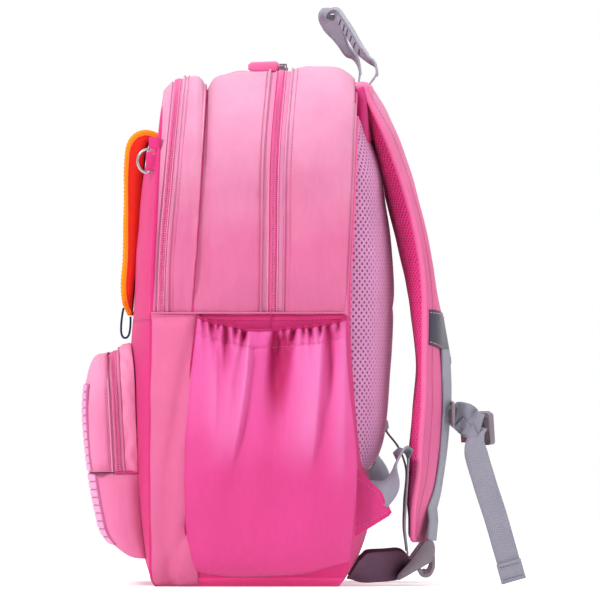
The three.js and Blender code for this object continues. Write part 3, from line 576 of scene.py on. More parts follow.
def moulded(name, colour, roughness=0.42):
    """Moulded plastic or rubber with a fine spark-eroded grain."""
    s = Shader(name, roughness=roughness, specular=0.5)
    speck = s.noise(0.7, 2)
    mixed = s.mix(s.ramp(s.noise(18), 0.3, 0.7), scaled(colour, 0.93), scaled(colour, 1.06))
    rough = s.calc("ADD", s.calc("MULTIPLY", speck, 0.2), roughness - 0.1)
    return s.finish(mixed, s.bump(speck, 0.03, 0.5), rough)


def plated(name, colour):
    s = Shader(name, roughness=0.35, metallic=1.0)
    scratches = s.noise(1.6, 4, (1, 1, 6))
    mixed = s.mix(s.ramp(s.noise(9), 0.3, 0.7), scaled(colour, 0.85), colour)
    return s.finish(mixed, s.bump(scratches, 0.03, 0.6))


# The second colours, toward which these fabrics turn higher up, are painted light from above.
light_fabric = fabric("light_pink_fabric", srgb(198, 98, 140), painted_light_top=srgb(206, 148, 176))
strip_fabric = fabric("light_pink_twill", srgb(200, 92, 136), twill=2.4, depth=0.3,
                      painted_light_top=srgb(204, 96, 140), heights=(0.04, 0.22))
hot_fabric = fabric("hot_pink_fabric", srgb(200, 42, 112), crinkle=0.35)
# Its fold colours are a painted highlight on raised folds and painted shade in creases.
pocket_fabric = fabric("side_pocket_fabric", srgb(200, 58, 126), crinkle=0.3, roughness=0.5, sheen=0.05,
                       painted_light_top=srgb(210, 84, 152), heights=(0.09, 0.20),
                       folded=(srgb(216, 128, 184), srgb(170, 26, 88)))
deep_fabric = fabric("deep_pink_fabric", srgb(194, 50, 116))
tape_fabric = fabric("zip_tape_fabric", srgb(212, 130, 168), pitch=0.8, crinkle=0.1)
tape_hot = fabric("zip_tape_hot", srgb(206, 74, 134), pitch=0.8, crinkle=0.1)
front_pocket_fabric = fabric("front_pocket_fabric", srgb(214, 112, 156), painted_light_top=srgb(222, 138, 174),
                             heights=(0.08, 0.18))
coil_plastic = moulded("zip_coil", srgb(216, 94, 148), 0.45)
thread = sewing_thread("sewing_thread", srgb(228, 132, 172))
thread_dark = sewing_thread("sewing_thread_dark", srgb(206, 92, 138))
mesh_fabric = air_mesh("air_mesh_lilac", srgb(200, 138, 180), srgb(128, 66, 106), 4.9,
                       (0.093, 0.101))
strap_mesh = air_mesh("air_mesh_dark", srgb(238, 60, 138), srgb(170, 30, 88), 3.8)
strap_fabric = fabric("strap_fabric", srgb(198, 92, 136), painted_light_top=srgb(210, 126, 164))
binding = fabric("binding_fabric", srgb(220, 100, 150), pitch=0.7, twill=1.2)
grey_webbing = webbing("grey_webbing", srgb(138, 136, 150))
handle_webbing = webbing("handle_webbing", srgb(158, 156, 170))
# The grey webbing darkened to mauve as painted shade, for webbing that lies in shadow.
shaded_webbing = webbing("grey_webbing_painted_shade", srgb(98, 66, 88))
grey_plastic = moulded("grey_acetal", srgb(116, 104, 114))
reflective = fabric("reflective_tape", srgb(58, 54, 70), pitch=0.6, crinkle=0.05, roughness=0.35)
ring_steel = plated("plated_wire", (0.46, 0.43, 0.46, 1.0))
slider_zinc = plated("plated_zinc", (0.42, 0.38, 0.42, 1.0))
puller_rubber = moulded("puller_rubber", srgb(226, 104, 156), 0.55)
stud_rubber = moulded("stud_rubber", srgb(228, 142, 186), 0.5)
stud_base = moulded("stud_base", srgb(178, 88, 134), 0.6)
# The flap's orange foam darkened to red, as painted shade for its shadowed underside.
flap_core_painted_shade = fabric("flap_core_painted_shade", srgb(206, 30, 18), pitch=1.1, crinkle=0.15, roughness=0.85)
yellow_face = fabric("yellow_orange_face", srgb(238, 138, 4), pitch=1.1, crinkle=0.15, roughness=0.85)
navy_cord = webbing("navy_cord", srgb(26, 40, 92), 1.0)
base_fabric = fabric("base_fabric", srgb(230, 64, 140), pitch=1.2, crinkle=0.3)
lining = fabric("lining_fabric", srgb(222, 150, 182), pitch=1.0, crinkle=0.6)
thread_grey = sewing_thread("sewing_thread_grey", srgb(92, 88, 98))
thread_orange = sewing_thread("sewing_thread_orange", srgb(246, 120, 40))

# ---- Camera, light and floor --------------------------------------------------------------------

VIEW_DISTANCE = 12.0
VIEW_HEIGHT = 0.2296
VIEW_CENTRE_Y = 0.04
NEAR_SIDE = 0.138
FRAME_WIDTH = 0.48


def set_camera():
    data = bpy.data.cameras.new("camera")
    data.sensor_width = 36
    data.lens = 36 * (VIEW_DISTANCE - NEAR_SIDE) / FRAME_WIDTH
    camera = bpy.data.objects.new("camera", data)
    camera.location = (VIEW_DISTANCE, VIEW_CENTRE_Y, VIEW_HEIGHT)
    camera.rotation_euler = (math.pi / 2, 0, math.pi / 2)
    bpy.context.scene.collection.objects.link(camera)
    bpy.context.scene.camera = camera
    bpy.context.scene.view_settings.view_transform = "Standard"


def area_light(name, place, aim, size, power):
    data = bpy.data.lights.new(name, "AREA")
    data.size = size
    data.energy = power
    light = bpy.data.objects.new(name, data)
    light.location = place
    light.rotation_euler = (Vector(aim) - Vector(place)).to_track_quat("-Z", "Y").to_euler()
    bpy.context.scene.collection.objects.link(light)


def set_light():
    world = bpy.data.worlds.new("studio")
    world.use_nodes = True
    background = world.node_tree.nodes["Background"]
    background.inputs["Color"].default_value = (1, 1, 1, 1)
    nodes, links = world.node_tree.nodes, world.node_tree.links
    direction = nodes.new("ShaderNodeTexCoord").outputs["Generated"]
    split = nodes.new("ShaderNodeSeparateXYZ")
    links.new(direction, split.inputs["Vector"])
    sweep_of_light = nodes.new("ShaderNodeMapRange")
    links.new(split.outputs["X"], sweep_of_light.inputs["Value"])
    for key, value in (("From Min", -0.3), ("From Max", 0.3), ("To Min", 1.0), ("To Max", 0.42)):
        sweep_of_light.inputs[key].default_value = value
    links.new(sweep_of_light.outputs["Result"], background.inputs["Strength"])
    bpy.context.scene.world = world
    area_light("key", (1.3, -1.2, 1.6), (0, 0, 0.25), 0.45, 36)
    area_light("fill", (1.1, 1.9, 1.0), (0, 0.1, 0.22), 1.2, 18)
    area_light("top", (0.2, 0.3, 1.9), (0, 0, 0.3), 0.8, 13)


def make_floor():
    half = 4000
    corners = np.array([(-half, -half, 0), (half, -half, 0), (half, half, 0), (-half, half, 0)], float)
    s = Shader("floor_white", roughness=0.9, specular=0.1)
    s.bsdf.inputs["Emission Color"].default_value = (1, 1, 1, 1)
    s.bsdf.inputs["Emission Strength"].default_value = 0.35
    material = s.finish(s.mix(s.noise(400), (0.82, 0.82, 0.82, 1), (0.86, 0.86, 0.86, 1)))
    floor = mesh_piece("floor", (corners, [(0, 1, 2, 3)], corners[:, :2]), material)


set_camera()
set_light()
make_floor()

# ---- The bag's outline seen from the front ------------------------------------------------------


def arch_stations(start, count, half_width=HALF_WIDTH, top=SEAM_TOP, radius=TOP_RADIUS):
    """Places and outward normals up one side, over the top and down the other: x, z, nx, nz."""
    flat = half_width - radius
    corner = math.pi / 2 * radius
    half = flat + corner + top - radius - start
    run = np.linspace(half, -half, count)
    far = np.abs(run)
    turn = np.clip((far - flat) / radius, 0, math.pi / 2)
    x = np.minimum(far, flat) + radius * np.sin(turn)
    z = top - radius * (1 - np.cos(turn)) - np.maximum(far - flat - corner, 0)
    return x * np.sign(run), z, np.sin(turn) * np.sign(run), np.cos(turn)


def corner_stations(top, count, start=0.0):
    """The same up the right side only, from the flat base round the bottom corner."""
    corner = BOTTOM_RADIUS * (math.pi / 2 - start)
    run = np.linspace(0, corner + top - BOTTOM_RADIUS, count)
    turn = np.minimum(start + run / BOTTOM_RADIUS, math.pi / 2)
    x = HALF_WIDTH - BOTTOM_RADIUS + BOTTOM_RADIUS * np.sin(turn)
    z = BOTTOM_RADIUS * (1 - np.cos(turn)) + np.maximum(run - corner, 0)
    return x, z, np.sin(turn), -np.cos(turn)


def rise_share(z, nz):
    """How much of a gusset's rise is left: all of it on top, little of it where the zips end."""
    return lerp(SIDE_SHARE * ease((z - ZIP_END + 5) / 40), 1, np.maximum(nz, 0))


def outward_of(stations):
    x, z, nx, nz = stations
    return xyz(nx, 0, nz)


def raised(stations, y, height):
    """Points over the outline, at a depth and at a height along its outward normal."""
    x, z, nx, nz = stations
    return xyz(x + nx * height, y, z + nz * height)


def columns_of(stations):
    return [values[:, None] for values in stations]


def arch_sheet(stations, first, last, rise, columns, thickness, lift=0.0, creases=None):
    """A wall over the arch between two depth lines. lift is added along the outward normal."""
    x, z, nx, nz = columns_of(stations)
    t = np.linspace(0, 1, columns)[None]
    y = lerp(first(z), last(z), t)
    height = rise(y) * rise_share(z, nz) + lift
    if creases:
        run = lengths_along(np.stack(stations[:2], 1))[:, None]
        height = height + creases(run, t, np.sign(x))
    return surface(raised((x, z, nx, nz), y, height), thickness, outward_of(stations)[:, None])


def arch_line(stations, line, rise, lift=0.0):
    """Points and outward directions along one depth line of the arch."""
    x, z, nx, nz = stations
    y = line(z)
    return raised(stations, y, rise(y) * rise_share(z, nz) + lift), outward_of(stations)


def shifted(line, by):
    return lambda z: line(z) + by


def pillow(t, edge=0.5):
    """0 at both edges of a panel and 1 across its middle."""
    return np.sin(np.pi * np.clip(t, 0, 1)) ** edge


def ridge(distance, width):
    return np.exp(-(distance / width) ** 2)


# ---- Upper gussets ------------------------------------------------------------------------------

ARCH_START = 218
FOLD = (0.200, 0.238)            # heights in metres given by sewn() with front-section pieces; add() does not use their values
LINING_FOLD = (0.203, 0.225)


def sewn(name, part, material, body, replaces=()):
    """A piece by the crease: one of the front section is given the crease heights and left unattached, any
    other rides its body.
    """
    add(name, part, material, body, replaces, FOLD if body == "front_section" else None)


def gusset_creases(seed, depth, lean):
    """Soft creases for a stuffed gusset: slanting ones down the sides, short ones by the seams."""
    def height(run, t, side):
        grid = xyz(run * 0.55, t * 70 + run * lean, side * 40)
        soft = wobble(grid, 34, seed) * 0.8 + wobble(grid, 15, seed + 3) * 0.25
        puckers = wobble(xyz(run, t * 5, side * 9), 9, seed + 5)
        near_seam = ridge(t, 0.1) + ridge(1 - t, 0.08)
        return depth * soft * pillow(t, 0.6) + 1.1 * puckers * near_seam * pillow(t, 0.3)
    return height


def gussets():
    """The three stuffed stretches of the arch, between the zips, the valley and the rear seam."""
    stations = arch_stations(ARCH_START, 260)
    for name, node, body, first, last, rise, columns, creases in (
            ("main_gusset_front", "front_gusset", "front_section", shifted(valley, 0.3),
             shifted(main_zip, -MAIN_ZIP_HALF), main_rise, 44, gusset_creases(1, 3.4, 0.25)),
            ("organiser_gusset_skin", "organiser_gusset", "front_section",
             shifted(organiser_zip, SLIM_ZIP_HALF), shifted(valley, -0.3), organiser_rise, 26,
             gusset_creases(2, 2.2, 0.10)),
            ("rear_gusset_skin", "rear_gusset", "bag", shifted(main_zip, MAIN_ZIP_HALF),
             shifted(rear_seam, -1.0), main_rise, 34, gusset_creases(4, 2.8, -0.2))):
        part = arch_sheet(stations, first, last, rise, columns, 1.6, 0.0, creases)
        sewn(name, part, light_fabric, body, [node])


def folded_edge(name, line, rise, shift, body, stitch_shift):
    """The folded edge of a gusset beside a zip, and the row of stitches that holds it."""
    stations = arch_stations(ZIP_END, 220)
    points, out = arch_line(stations, shifted(line, shift), rise, 0.5)
    sewn(f"{name}_edge", tube(points, 1.15, out, squash=0.8), light_fabric, body)
    seam, out = arch_line(stations, shifted(line, shift + stitch_shift), rise, 0.35)
    sewn(f"{name}_stitches", stitches(seam, out), thread_dark, body)


CORD_AT = 0.42       # share of a tape's width at which its cord runs
TAPE_GAP = 0.2


def zip_side(name, sign, stations, line, rise, half, body, tooth_pitch):
    """One tape of a zip, the ridge of cord on it and its row of coil teeth."""
    def tape(kind, reach, columns, thickness, lift, material, replaces=()):
        first, last = sorted((sign * TAPE_GAP, sign * reach))
        sheet = arch_sheet(stations, shifted(line, first), shifted(line, last), rise, columns,
                           thickness, lift)
        sewn(f"{name}_{kind}", sheet, material, body, replaces)

    tape("tape", half, 7, 0.7, -1.3, tape_fabric, [f"{name}_tape"])
    tape("inner_tape", half * CORD_AT, 4, 0.3, -0.95, tape_hot)
    cord_line, out = arch_line(stations, shifted(line, sign * half * CORD_AT), rise, -0.75)
    sewn(f"{name}_cord", tube(cord_line, 0.55, out, 6), thread, body)
    teeth_line, out = arch_line(stations, shifted(line, sign * 1.0), rise, -0.35)
    count = int(lengths_along(teeth_line)[-1] / tooth_pitch)
    both = evenly(np.concatenate([teeth_line, out], 1), count)
    lean = tangents(both[:, :3]) * 0.35 * sign + (0, 1, 0)
    teeth = beads(both[:, :3], lean, both[:, 3:], 2.5, 0.55, 0.9)
    sewn(f"{name}_teeth", teeth, coil_plastic, body)


def zip_on_arch(name, stations, line, rise, half, front_body, rear_body, tooth_pitch):
    zip_side(f"{name}_front", -1, stations, line, rise, half, front_body, tooth_pitch)
    zip_side(f"{name}_rear", 1, stations, line, rise, half, rear_body, tooth_pitch)


def upper_body():
    gussets()
    stations = arch_stations(ZIP_END, 240)
    zip_on_arch("main_zip", stations, main_zip, main_rise, MAIN_ZIP_HALF, "front_section", "bag", 1.5)
    zip_on_arch("organiser_zip", stations, organiser_zip, organiser_rise, SLIM_ZIP_HALF,
                "organiser_front", "front_section", 1.4)
    reach = arch_sheet(stations, shifted(front_seam, -1.2), shifted(organiser_zip, -SLIM_ZIP_HALF * 0.8),
                       organiser_rise, 8, 1.0, 0.2)
    add("organiser_front_edge", reach, light_fabric, "organiser_front")
    folded_edge("main_gusset", main_zip, main_rise, -MAIN_ZIP_HALF, "front_section", -2.2)
    folded_edge("rear_gusset", main_zip, main_rise, MAIN_ZIP_HALF, "bag", 4.5)
    folded_edge("organiser_gusset", organiser_zip, organiser_rise, SLIM_ZIP_HALF, "front_section", 3.6)
    seam_side = (0.2, 0.9, 0.3)
    groove, _ = arch_line(arch_stations(ARCH_START, 200), valley, lambda y: 0 * y, -0.2)
    sewn("valley_seam", tube(groove, 1.0, seam_side), deep_fabric, "front_section")
    piping_rise = curve([(0, 4), (410, 7.5)])
    rear, _ = arch_line(arch_stations(ZIP_END - 2, 220), shifted(rear_seam, -0.6), piping_rise)
    add("rear_seam_piping", tube(rear, 1.7, seam_side), light_fabric, "bag")


# ---- Front panels -------------------------------------------------------------------------------

PIPING_LOW = 1.7     # keeps the piping above the floor


def front_depth(x, z):
    reach = np.abs(x) / HALF_WIDTH
    return front_seam(z) - front_bulge(z) * np.clip(1 - reach**4, 0, 1)


def cross_grid(stations, inset, columns, depth):
    """A panel across the bag, with a depth for each place on it."""
    x, z, nx, nz = stations
    across = crowded(columns) * 0.5 + np.linspace(-1, 1, columns) * 0.5
    gx = (x - nx * inset)[:, None] * across
    gz = np.repeat((z - nz * inset)[:, None], columns, 1)
    return xyz(gx, depth(gx, gz), gz)


def upper_stations(bottom, count):
    return [values[:count] for values in arch_stations(bottom, 2 * count)]


def panel_creases(x, z, seed, depth):
    grid = xyz(x, z * 0.7, 0)
    return depth * (wobble(grid, 45, seed) + 0.3 * wobble(grid, 17, seed + 1))


def crease_lining():
    """Fabric behind the front panels, which closes the fold at the crease when the bag is open."""
    across = np.linspace(-1, 1, 60) * (HALF_WIDTH - 0.6)
    x, z = np.meshgrid(across, np.linspace(CREASE_Z + 13, CREASE_Z - 11, 16))
    part = surface(xyz(x, front_depth(x, z) + 2.4, z), 0.8, (0, -1, 0))
    add("crease_lining", part, hot_fabric, "front_section", fold=LINING_FOLD)


def front_panels():
    def depth(x, z):
        return front_depth(x, z) + panel_creases(x, z, 11, 0.8) * np.clip(1.2 - (x / HALF_WIDTH) ** 6, 0, 1)

    upper = upper_stations(CREASE_Z, 90)
    grid = cross_grid(upper, lerp(1.2, 2.2, np.maximum(upper[3], 0)), 70, depth)
    add("upper_front_skin", surface(grid, 1.8, (0, -1, 0)), hot_fabric, "organiser_front",
        ["upper_front_panel"])
    lower = corner_stations(CREASE_Z, 80, 0.08)
    grid = cross_grid(lower, 0.0, 70, depth)
    add("lower_front_skin", surface(grid, 1.8, (0, -1, 0)), hot_fabric, "bag",
        ["lower_front_panel"])
    stations = arch_stations(CREASE_Z, 200)
    drop = -1.1 - 0.7 * np.maximum(stations[3], 0)
    line = raised(stations, front_seam(stations[1]) + 0.4, drop)
    add("upper_front_piping", tube(line, 1.7, (0, 1, 0)), hot_fabric, "organiser_front")
    stations = corner_stations(CREASE_Z, 90, 0.1)
    line = raised(stations, front_seam(stations[1]) + 0.4, 0.4)
    line[:, 2] = np.maximum(line[:, 2], PIPING_LOW)
    for side_name, side in SIDES:
        add(f"lower_front_piping_{side_name}", tube(line * (side, 1, 1), 1.6, (0, 1, 0)), hot_fabric,
            "bag")
    crease_lining()


# ---- Lower sides, dividers, back and base -------------------------------------------------------

MAIN_ZIP_LOW = float(main_zip(ZIP_END))


def side_wall(side, first, last, columns, height, start):
    """A stretch of the lower side, between two depth lines."""
    stations = corner_stations(ZIP_END, 120, start)
    z = stations[1][:, None]
    t = np.linspace(0, 1, columns)[None]
    y = lerp(first(z), last(z), t)
    grid = raised(columns_of(stations), y, height(y, z, t))
    return surface(grid * (side, 1, 1), 1.6, (side, 0, 0))


def strip_shape(y, z, t):
    """The light strip ahead of the side pocket: stuffed, with slanting folds toward the pocket."""
    grid = xyz(y, z * 0.8, 0)
    fold = 3.4 * ridge(t - lerp(0.95, 0.35, np.clip((ZIP_END - z) / 150, 0, 1)), 0.16)
    low = 2.6 * ridge(t - lerp(1.0, 0.3, np.clip((60 - z) / 50, 0, 1)), 0.16) * ease((70 - z) / 20)
    soft = 1.3 * wobble(grid, 26, 21)
    return (5.0 * pillow(t, 0.55) - fold - low + soft) * ease((ZIP_END - z) / 12) * ease(z / 9) + 1.0


SEAM_FRONT = -79
SEAM_REAR = 78
HEM_FRONT = -44
HEM_REAR = 76


def side_seam(side_name, side):
    """The seam where the zips end, in a stretch ahead of the main zip, sewn as front section, and a stretch
    behind it on the bag.
    """
    for part, start, end, body in (("front", SEAM_FRONT, MAIN_ZIP_LOW, "front_section"),
                                   ("rear", MAIN_ZIP_LOW, SEAM_REAR, "bag")):
        y = np.linspace(start, end, 40)
        x = side * (HALF_WIDTH + 0.5 + 1.5 * pillow((y - SEAM_FRONT) / (SEAM_REAR - SEAM_FRONT)))
        piping = tube(xyz(x, y, ZIP_END + 0.2), 0.9, (0, 0, 1))
        sewn(f"side_seam_{part}_{side_name}", piping, light_fabric, body)
        y = np.linspace(max(start, HEM_FRONT), min(end, HEM_REAR), 24)
        z = ZIP_END - 4.2 - 1.2 * np.sin(np.pi * (y - HEM_FRONT) / (HEM_REAR - HEM_FRONT))
        hem = stitches(xyz(side * (HALF_WIDTH + 0.9), y, z), (side, 0, 0))
        sewn(f"lower_side_hem_stitches_{part}_{side_name}", hem, tape_hot, body)


def lower_sides():
    def main_zip_end(z):
        return 0 * z + MAIN_ZIP_LOW

    def flat_wall(y, z, t):
        return 0 * y + 0.4

    for side_name, side in SIDES:
        strip = side_wall(side, shifted(front_seam, 0.6), shifted(valley, 6), 36, strip_shape, 0.36)
        sewn(f"lower_strip_{side_name}", strip, strip_fabric, "front_section",
             [f"lower_side_{side_name}"])
        for part, start, end, body in (("front", shifted(valley, 5), main_zip_end, "front_section"),
                                       ("rear", main_zip_end, rear_seam, "bag")):
            wall = side_wall(side, start, end, 16, flat_wall, math.pi / 4)
            sewn(f"lower_side_{part}_wall_{side_name}", wall, hot_fabric, body)
        t = np.linspace(0, 1, 16)
        x = side * (HALF_WIDTH + 0.8 + 1.6 * pillow(t))
        line = xyz(x, lerp(SEAM_FRONT, HEM_FRONT, t), ZIP_END - 2.2)
        sewn(f"lower_strip_stitches_{side_name}", stitches(line, (side, 0, 0)), thread_dark,
             "front_section")
        side_seam(side_name, side)


def back_depth(x, z):
    return rear_seam(z) + back_bulge(z) * np.clip(1 - (np.abs(x) / HALF_WIDTH) ** 5, 0, 1)


def dividers():
    for name, stations in (("lower", corner_stations(ZIP_END, 90, 0.08)),
                           ("upper", upper_stations(ZIP_END, 90))):
        x, z, nx, nz = stations
        height = organiser_rise(valley(z) - 2.0) * rise_share(z, nz) - 0.8
        grid = cross_grid((x + height * nx, z + height * nz, nx, nz), 0.0, 30,
                          lambda gx, gz: valley(gz) - 3.0)
        sewn(f"{name}_divider_skin", surface(grid, 2.6, (0, -1, 0)), lining, "front_section",
             [f"{name}_divider"])


def back():
    stations = arch_stations(ZIP_END - 2, 200)
    outer, inner = (arch_line(stations, shifted(rear_seam, -2.0), main_rise, lift)[0]
                    for lift in (-1.0, -18.0))
    grid = lerp(outer[:, None], inner[:, None], np.linspace(0, 1, 6)[None, :, None])
    add("rear_seam_allowance", surface(grid, 1.0, (0, 1, 0)), lining, "bag")
    low = corner_stations(200, 60, 0.08)
    high = upper_stations(204, 80)
    whole = [np.concatenate([a, b]) for a, b in zip(low, high)]
    grid = cross_grid(whole, -7.0 * np.maximum(whole[3], 0), 50, back_depth)
    add("back_board", surface(grid, 4.0, (0, 1, 0)), deep_fabric, "bag", ["back_panel"])


def base():
    turn = np.concatenate([np.linspace(-math.pi / 4, 0, 14), np.linspace(0, math.pi / 4, 14)])[:, None]
    shift = np.sign(np.arange(28) - 13.5)[:, None] * (HALF_WIDTH - BOTTOM_RADIUS)
    z = BOTTOM_RADIUS - BOTTOM_RADIUS * np.cos(turn)
    y = lerp(front_seam(z) + 0.4, rear_seam(z) - 0.4, np.linspace(0, 1, 40))
    grid = xyz(shift + BOTTOM_RADIUS * np.sin(turn), y, z)
    add("base_skin", surface(grid, 2.4, (0, 0, -1)), base_fabric, "bag", ["base_panel"])


# ---- Small front pocket -------------------------------------------------------------------------

POCKET_SEAM_GAP = 0.4
POCKET_ZIP_HALF = 4.5
STUD_PITCH = 6.3
PLATE_HALF = 93
PLATE_LOW = 33
PLATE_HIGH = 162
PLATE_STAND = 1.3


def round_off(reach):
    """Share of the pocket's depth that is left near its edge, for a reach of 0 to 1."""
    return np.clip(1 - np.abs(reach) ** 5, 0, 1) ** 0.2


def crowd(share):
    """Crowds evenly spread numbers toward the edges, where the pocket turns fastest."""
    return np.sign(share) * np.sin(np.abs(share) * np.pi / 2) ** 0.55


def pocket_half(z):
    rise = np.clip(z - (POCKET_TOP - POCKET_RADIUS), 0, POCKET_RADIUS)
    return POCKET_HALF - POCKET_RADIUS + np.sqrt(POCKET_RADIUS**2 - rise**2)


def pocket_grid(limit, rows, columns, rim):
    share = crowd(np.linspace(0, 1, rows))[:, None]
    reach = crowd(np.linspace(-1, 1, columns))[None]
    z = lerp(POCKET_SPLIT + np.sign(limit - POCKET_SPLIT) * POCKET_SEAM_GAP, limit, share)
    x = reach * pocket_half(z)
    z = np.broadcast_to(z, x.shape)
    depth = round_off(reach) * round_off(share)
    creases = panel_creases(x, z, 31, 2.0) * depth
    return xyz(x, lerp(rim(x, z), pocket_face(z), depth) + creases, z)


def zip_rim(x, z):
    """Depth of the pocket's front at its zip."""
    return pocket_zip(z) - POCKET_ZIP_HALF - 0.3


def base_rim(x, z):
    """Depth of the pocket's seam on the bag's front panel."""
    return front_depth(x, z) - 0.3


def plate_depth(x, z):
    above = z > POCKET_SPLIT
    ends = np.where(above, POCKET_TOP - POCKET_SPLIT, POCKET_SPLIT - POCKET_BOTTOM)
    depth = round_off(x / pocket_half(z)) * round_off((z - POCKET_SPLIT) / ends)
    return lerp(np.where(above, zip_rim(x, z), base_rim(x, z)), pocket_face(z), depth)


STUD_SHAPE = [(0.88, -0.4), (0.88, 0.35), (0.78, 0.75), (0.50, 0.9)]     # size and lift of each ring
STUD_CORNERS = 12


def stud_plate(name, low, high, body):
    """A moulded sheet with rows of rounded square studs."""
    gx, gz = np.meshgrid(np.linspace(-PLATE_HALF, PLATE_HALF, 60), np.linspace(low, high, 40))
    sheet = surface(xyz(gx, plate_depth(gx, gz) - PLATE_STAND, gz), 2.2, (0, -1, 0))
    columns = int(2 * PLATE_HALF / STUD_PITCH)
    rows = int((high - low) / STUD_PITCH)
    square = circle(STUD_CORNERS, 0.5)
    square = square / np.maximum(np.abs(square).max(1, keepdims=True), 1e-9) ** 0.75
    x, z = (square * STUD_PITCH * 0.5).T
    vertices, faces = [], []
    for cz in low + (np.arange(rows) + 0.5) * (high - low) / rows:
        for cx in (np.arange(columns) - (columns - 1) / 2) * STUD_PITCH:
            start = len(vertices) * STUD_CORNERS
            for size, lift in STUD_SHAPE:
                px, pz = cx + x * size, cz + z * size
                vertices.append(xyz(px, plate_depth(px, pz) - PLATE_STAND - lift, pz))
            faces += loft_faces(len(STUD_SHAPE), STUD_CORNERS, start)
    points = np.concatenate(vertices)
    add(f"{name}_sheet", sheet, stud_base, body, [name])
    add(f"{name}_studs", (points, faces, points[:, [0, 2]]), stud_rubber, body)


def front_pocket():
    stations = arch_stations(POCKET_SPLIT + POCKET_SEAM_GAP, 150, POCKET_HALF, POCKET_TOP, POCKET_RADIUS)
    for name, limit, rows, rim, body in (("front", POCKET_TOP - 3.6, 60, zip_rim, "pocket_front"),
                                         ("base", POCKET_BOTTOM, 50, base_rim, "bag")):
        add(f"pocket_{name}_skin", surface(pocket_grid(limit, rows, 90, rim), 1.6, (0, -1, 0)),
            front_pocket_fabric, body, [f"pocket_{name}"])
    zip_on_arch("pocket_zip", stations, pocket_zip, pocket_rise, POCKET_ZIP_HALF, "pocket_front", "bag", 1.4)
    x, z, nx, nz = columns_of(stations)
    t = np.linspace(0, 1, 16)[None]
    y = lerp(pocket_zip(z) + POCKET_ZIP_HALF + 0.1, base_rim(x, z), t)
    run = lengths_along(np.stack(stations[:2], 1))[:, None]
    gathers = wobble(xyz(run, t * 12 + run * 0.4, 0), 9, 41)
    arch = np.sin(np.pi * t)
    lift = pocket_rise(y) * rise_share(z, nz) + 0.8 * arch ** 0.5 + 2.4 * gathers * arch ** 0.6
    grid = raised((x, z, nx, nz), y, lift)
    add("pocket_rim_skin", surface(grid, 1.4, outward_of(stations)[:, None]), front_pocket_fabric, "bag",
        ["pocket_rim"])
    for name, shift, material, body in (("front", -POCKET_ZIP_HALF - 0.4, tape_fabric, "pocket_front"),
                                        ("rear", POCKET_ZIP_HALF + 0.2, light_fabric, "bag")):
        line, out = arch_line(stations, shifted(pocket_zip, shift), pocket_rise, 0.3)
        add(f"pocket_{name}_piping", tube(line, 0.85, out), material, body)
    line, out = arch_line(stations, shifted(pocket_zip, -7.6), pocket_rise, 0.1)
    add("pocket_front_stitches", stitches(line, out), thread_dark, "pocket_front")
    for side_name, side in SIDES:
        y = np.linspace(front_depth(POCKET_HALF, POCKET_SPLIT), pocket_zip(POCKET_SPLIT) - 3, 12)
        seam = tube(xyz(side * POCKET_HALF, y, POCKET_SPLIT), 0.9, (0, 0, 1), 6)
        add(f"pocket_side_seam_{side_name}", seam, deep_fabric, "bag")
    stud_plate("stud_plate_upper", POCKET_SPLIT + 1, PLATE_HIGH, "pocket_front")
    stud_plate("stud_plate_lower", PLATE_LOW, POCKET_SPLIT - 1, "bag")


# ---- Side pockets -------------------------------------------------------------------------------

CASING = 14          # height of the hem's casing, which holds the elastic

# Gathers at the hem: place, depth, width and length down the pocket, and how far they lean.
GATHERS = [(-37.5, 3.2, 1.6, 26, 0.08), (-31.0, 5.0, 2.1, 44, 0.14), (-25.0, 2.4, 1.4, 15, -0.14),
           (-19.5, 4.6, 1.9, 34, 0.12), (-11.5, 3.8, 1.9, 50, 0.00), (-4.5, 6.6, 1.9, 84, -0.10),
           (8, 0.6, 3.0, 8, 0.00), (20.5, 5.6, 2.4, 62, -0.06), (27.0, 3.0, 1.5, 20, 0.12),
           (35.0, 5.8, 2.1, 56, -0.16), (42.5, 2.8, 1.6, 20, 0.05), (48.0, 4.4, 1.8, 32, 0.08),
           (56.0, 3.2, 1.6, 24, 0.00), (62.5, 4.6, 2.0, 40, -0.05), (70.5, 3.4, 1.6, 24, 0.00)]
# Long folds that hang from the hem: edge at the hem, lean, bend, width, height and length. Each
# rises gently toward its rear edge and falls away steeply behind it.
LONG_FOLDS = [(-1.0, -0.04, -0.0008, 15, 7.5, 106), (57, -0.02, -0.0005, 17, 6.5, 104),
              (-28, 0.04, -0.0006, 9, 3.0, 84), (76, -0.02, 0.0, 10, 3.5, 120)]
# Hollows between the folds: place, lean, depth, width and length.
HOLLOWS = [(24, -0.05, 8.5, 7.0, 62), (-20, 0.02, 4.0, 3.0, 44), (66, -0.04, 5.0, 3.5, 60)]


def fold_edge(distance, width):
    """A fold's height beside its edge: gentle on one side and steep on the other."""
    return np.where(distance < 0, ridge(distance, width), ridge(distance, 2.2))


def side_pocket_front(z):
    return valley(z) + lerp(-1.5, 4.0, np.clip((z - 110) / 100, 0, 1))


def side_pocket_back(z):
    return rear_seam(z) - 0.5 + 5.5 * ridge(z - 97, 55)


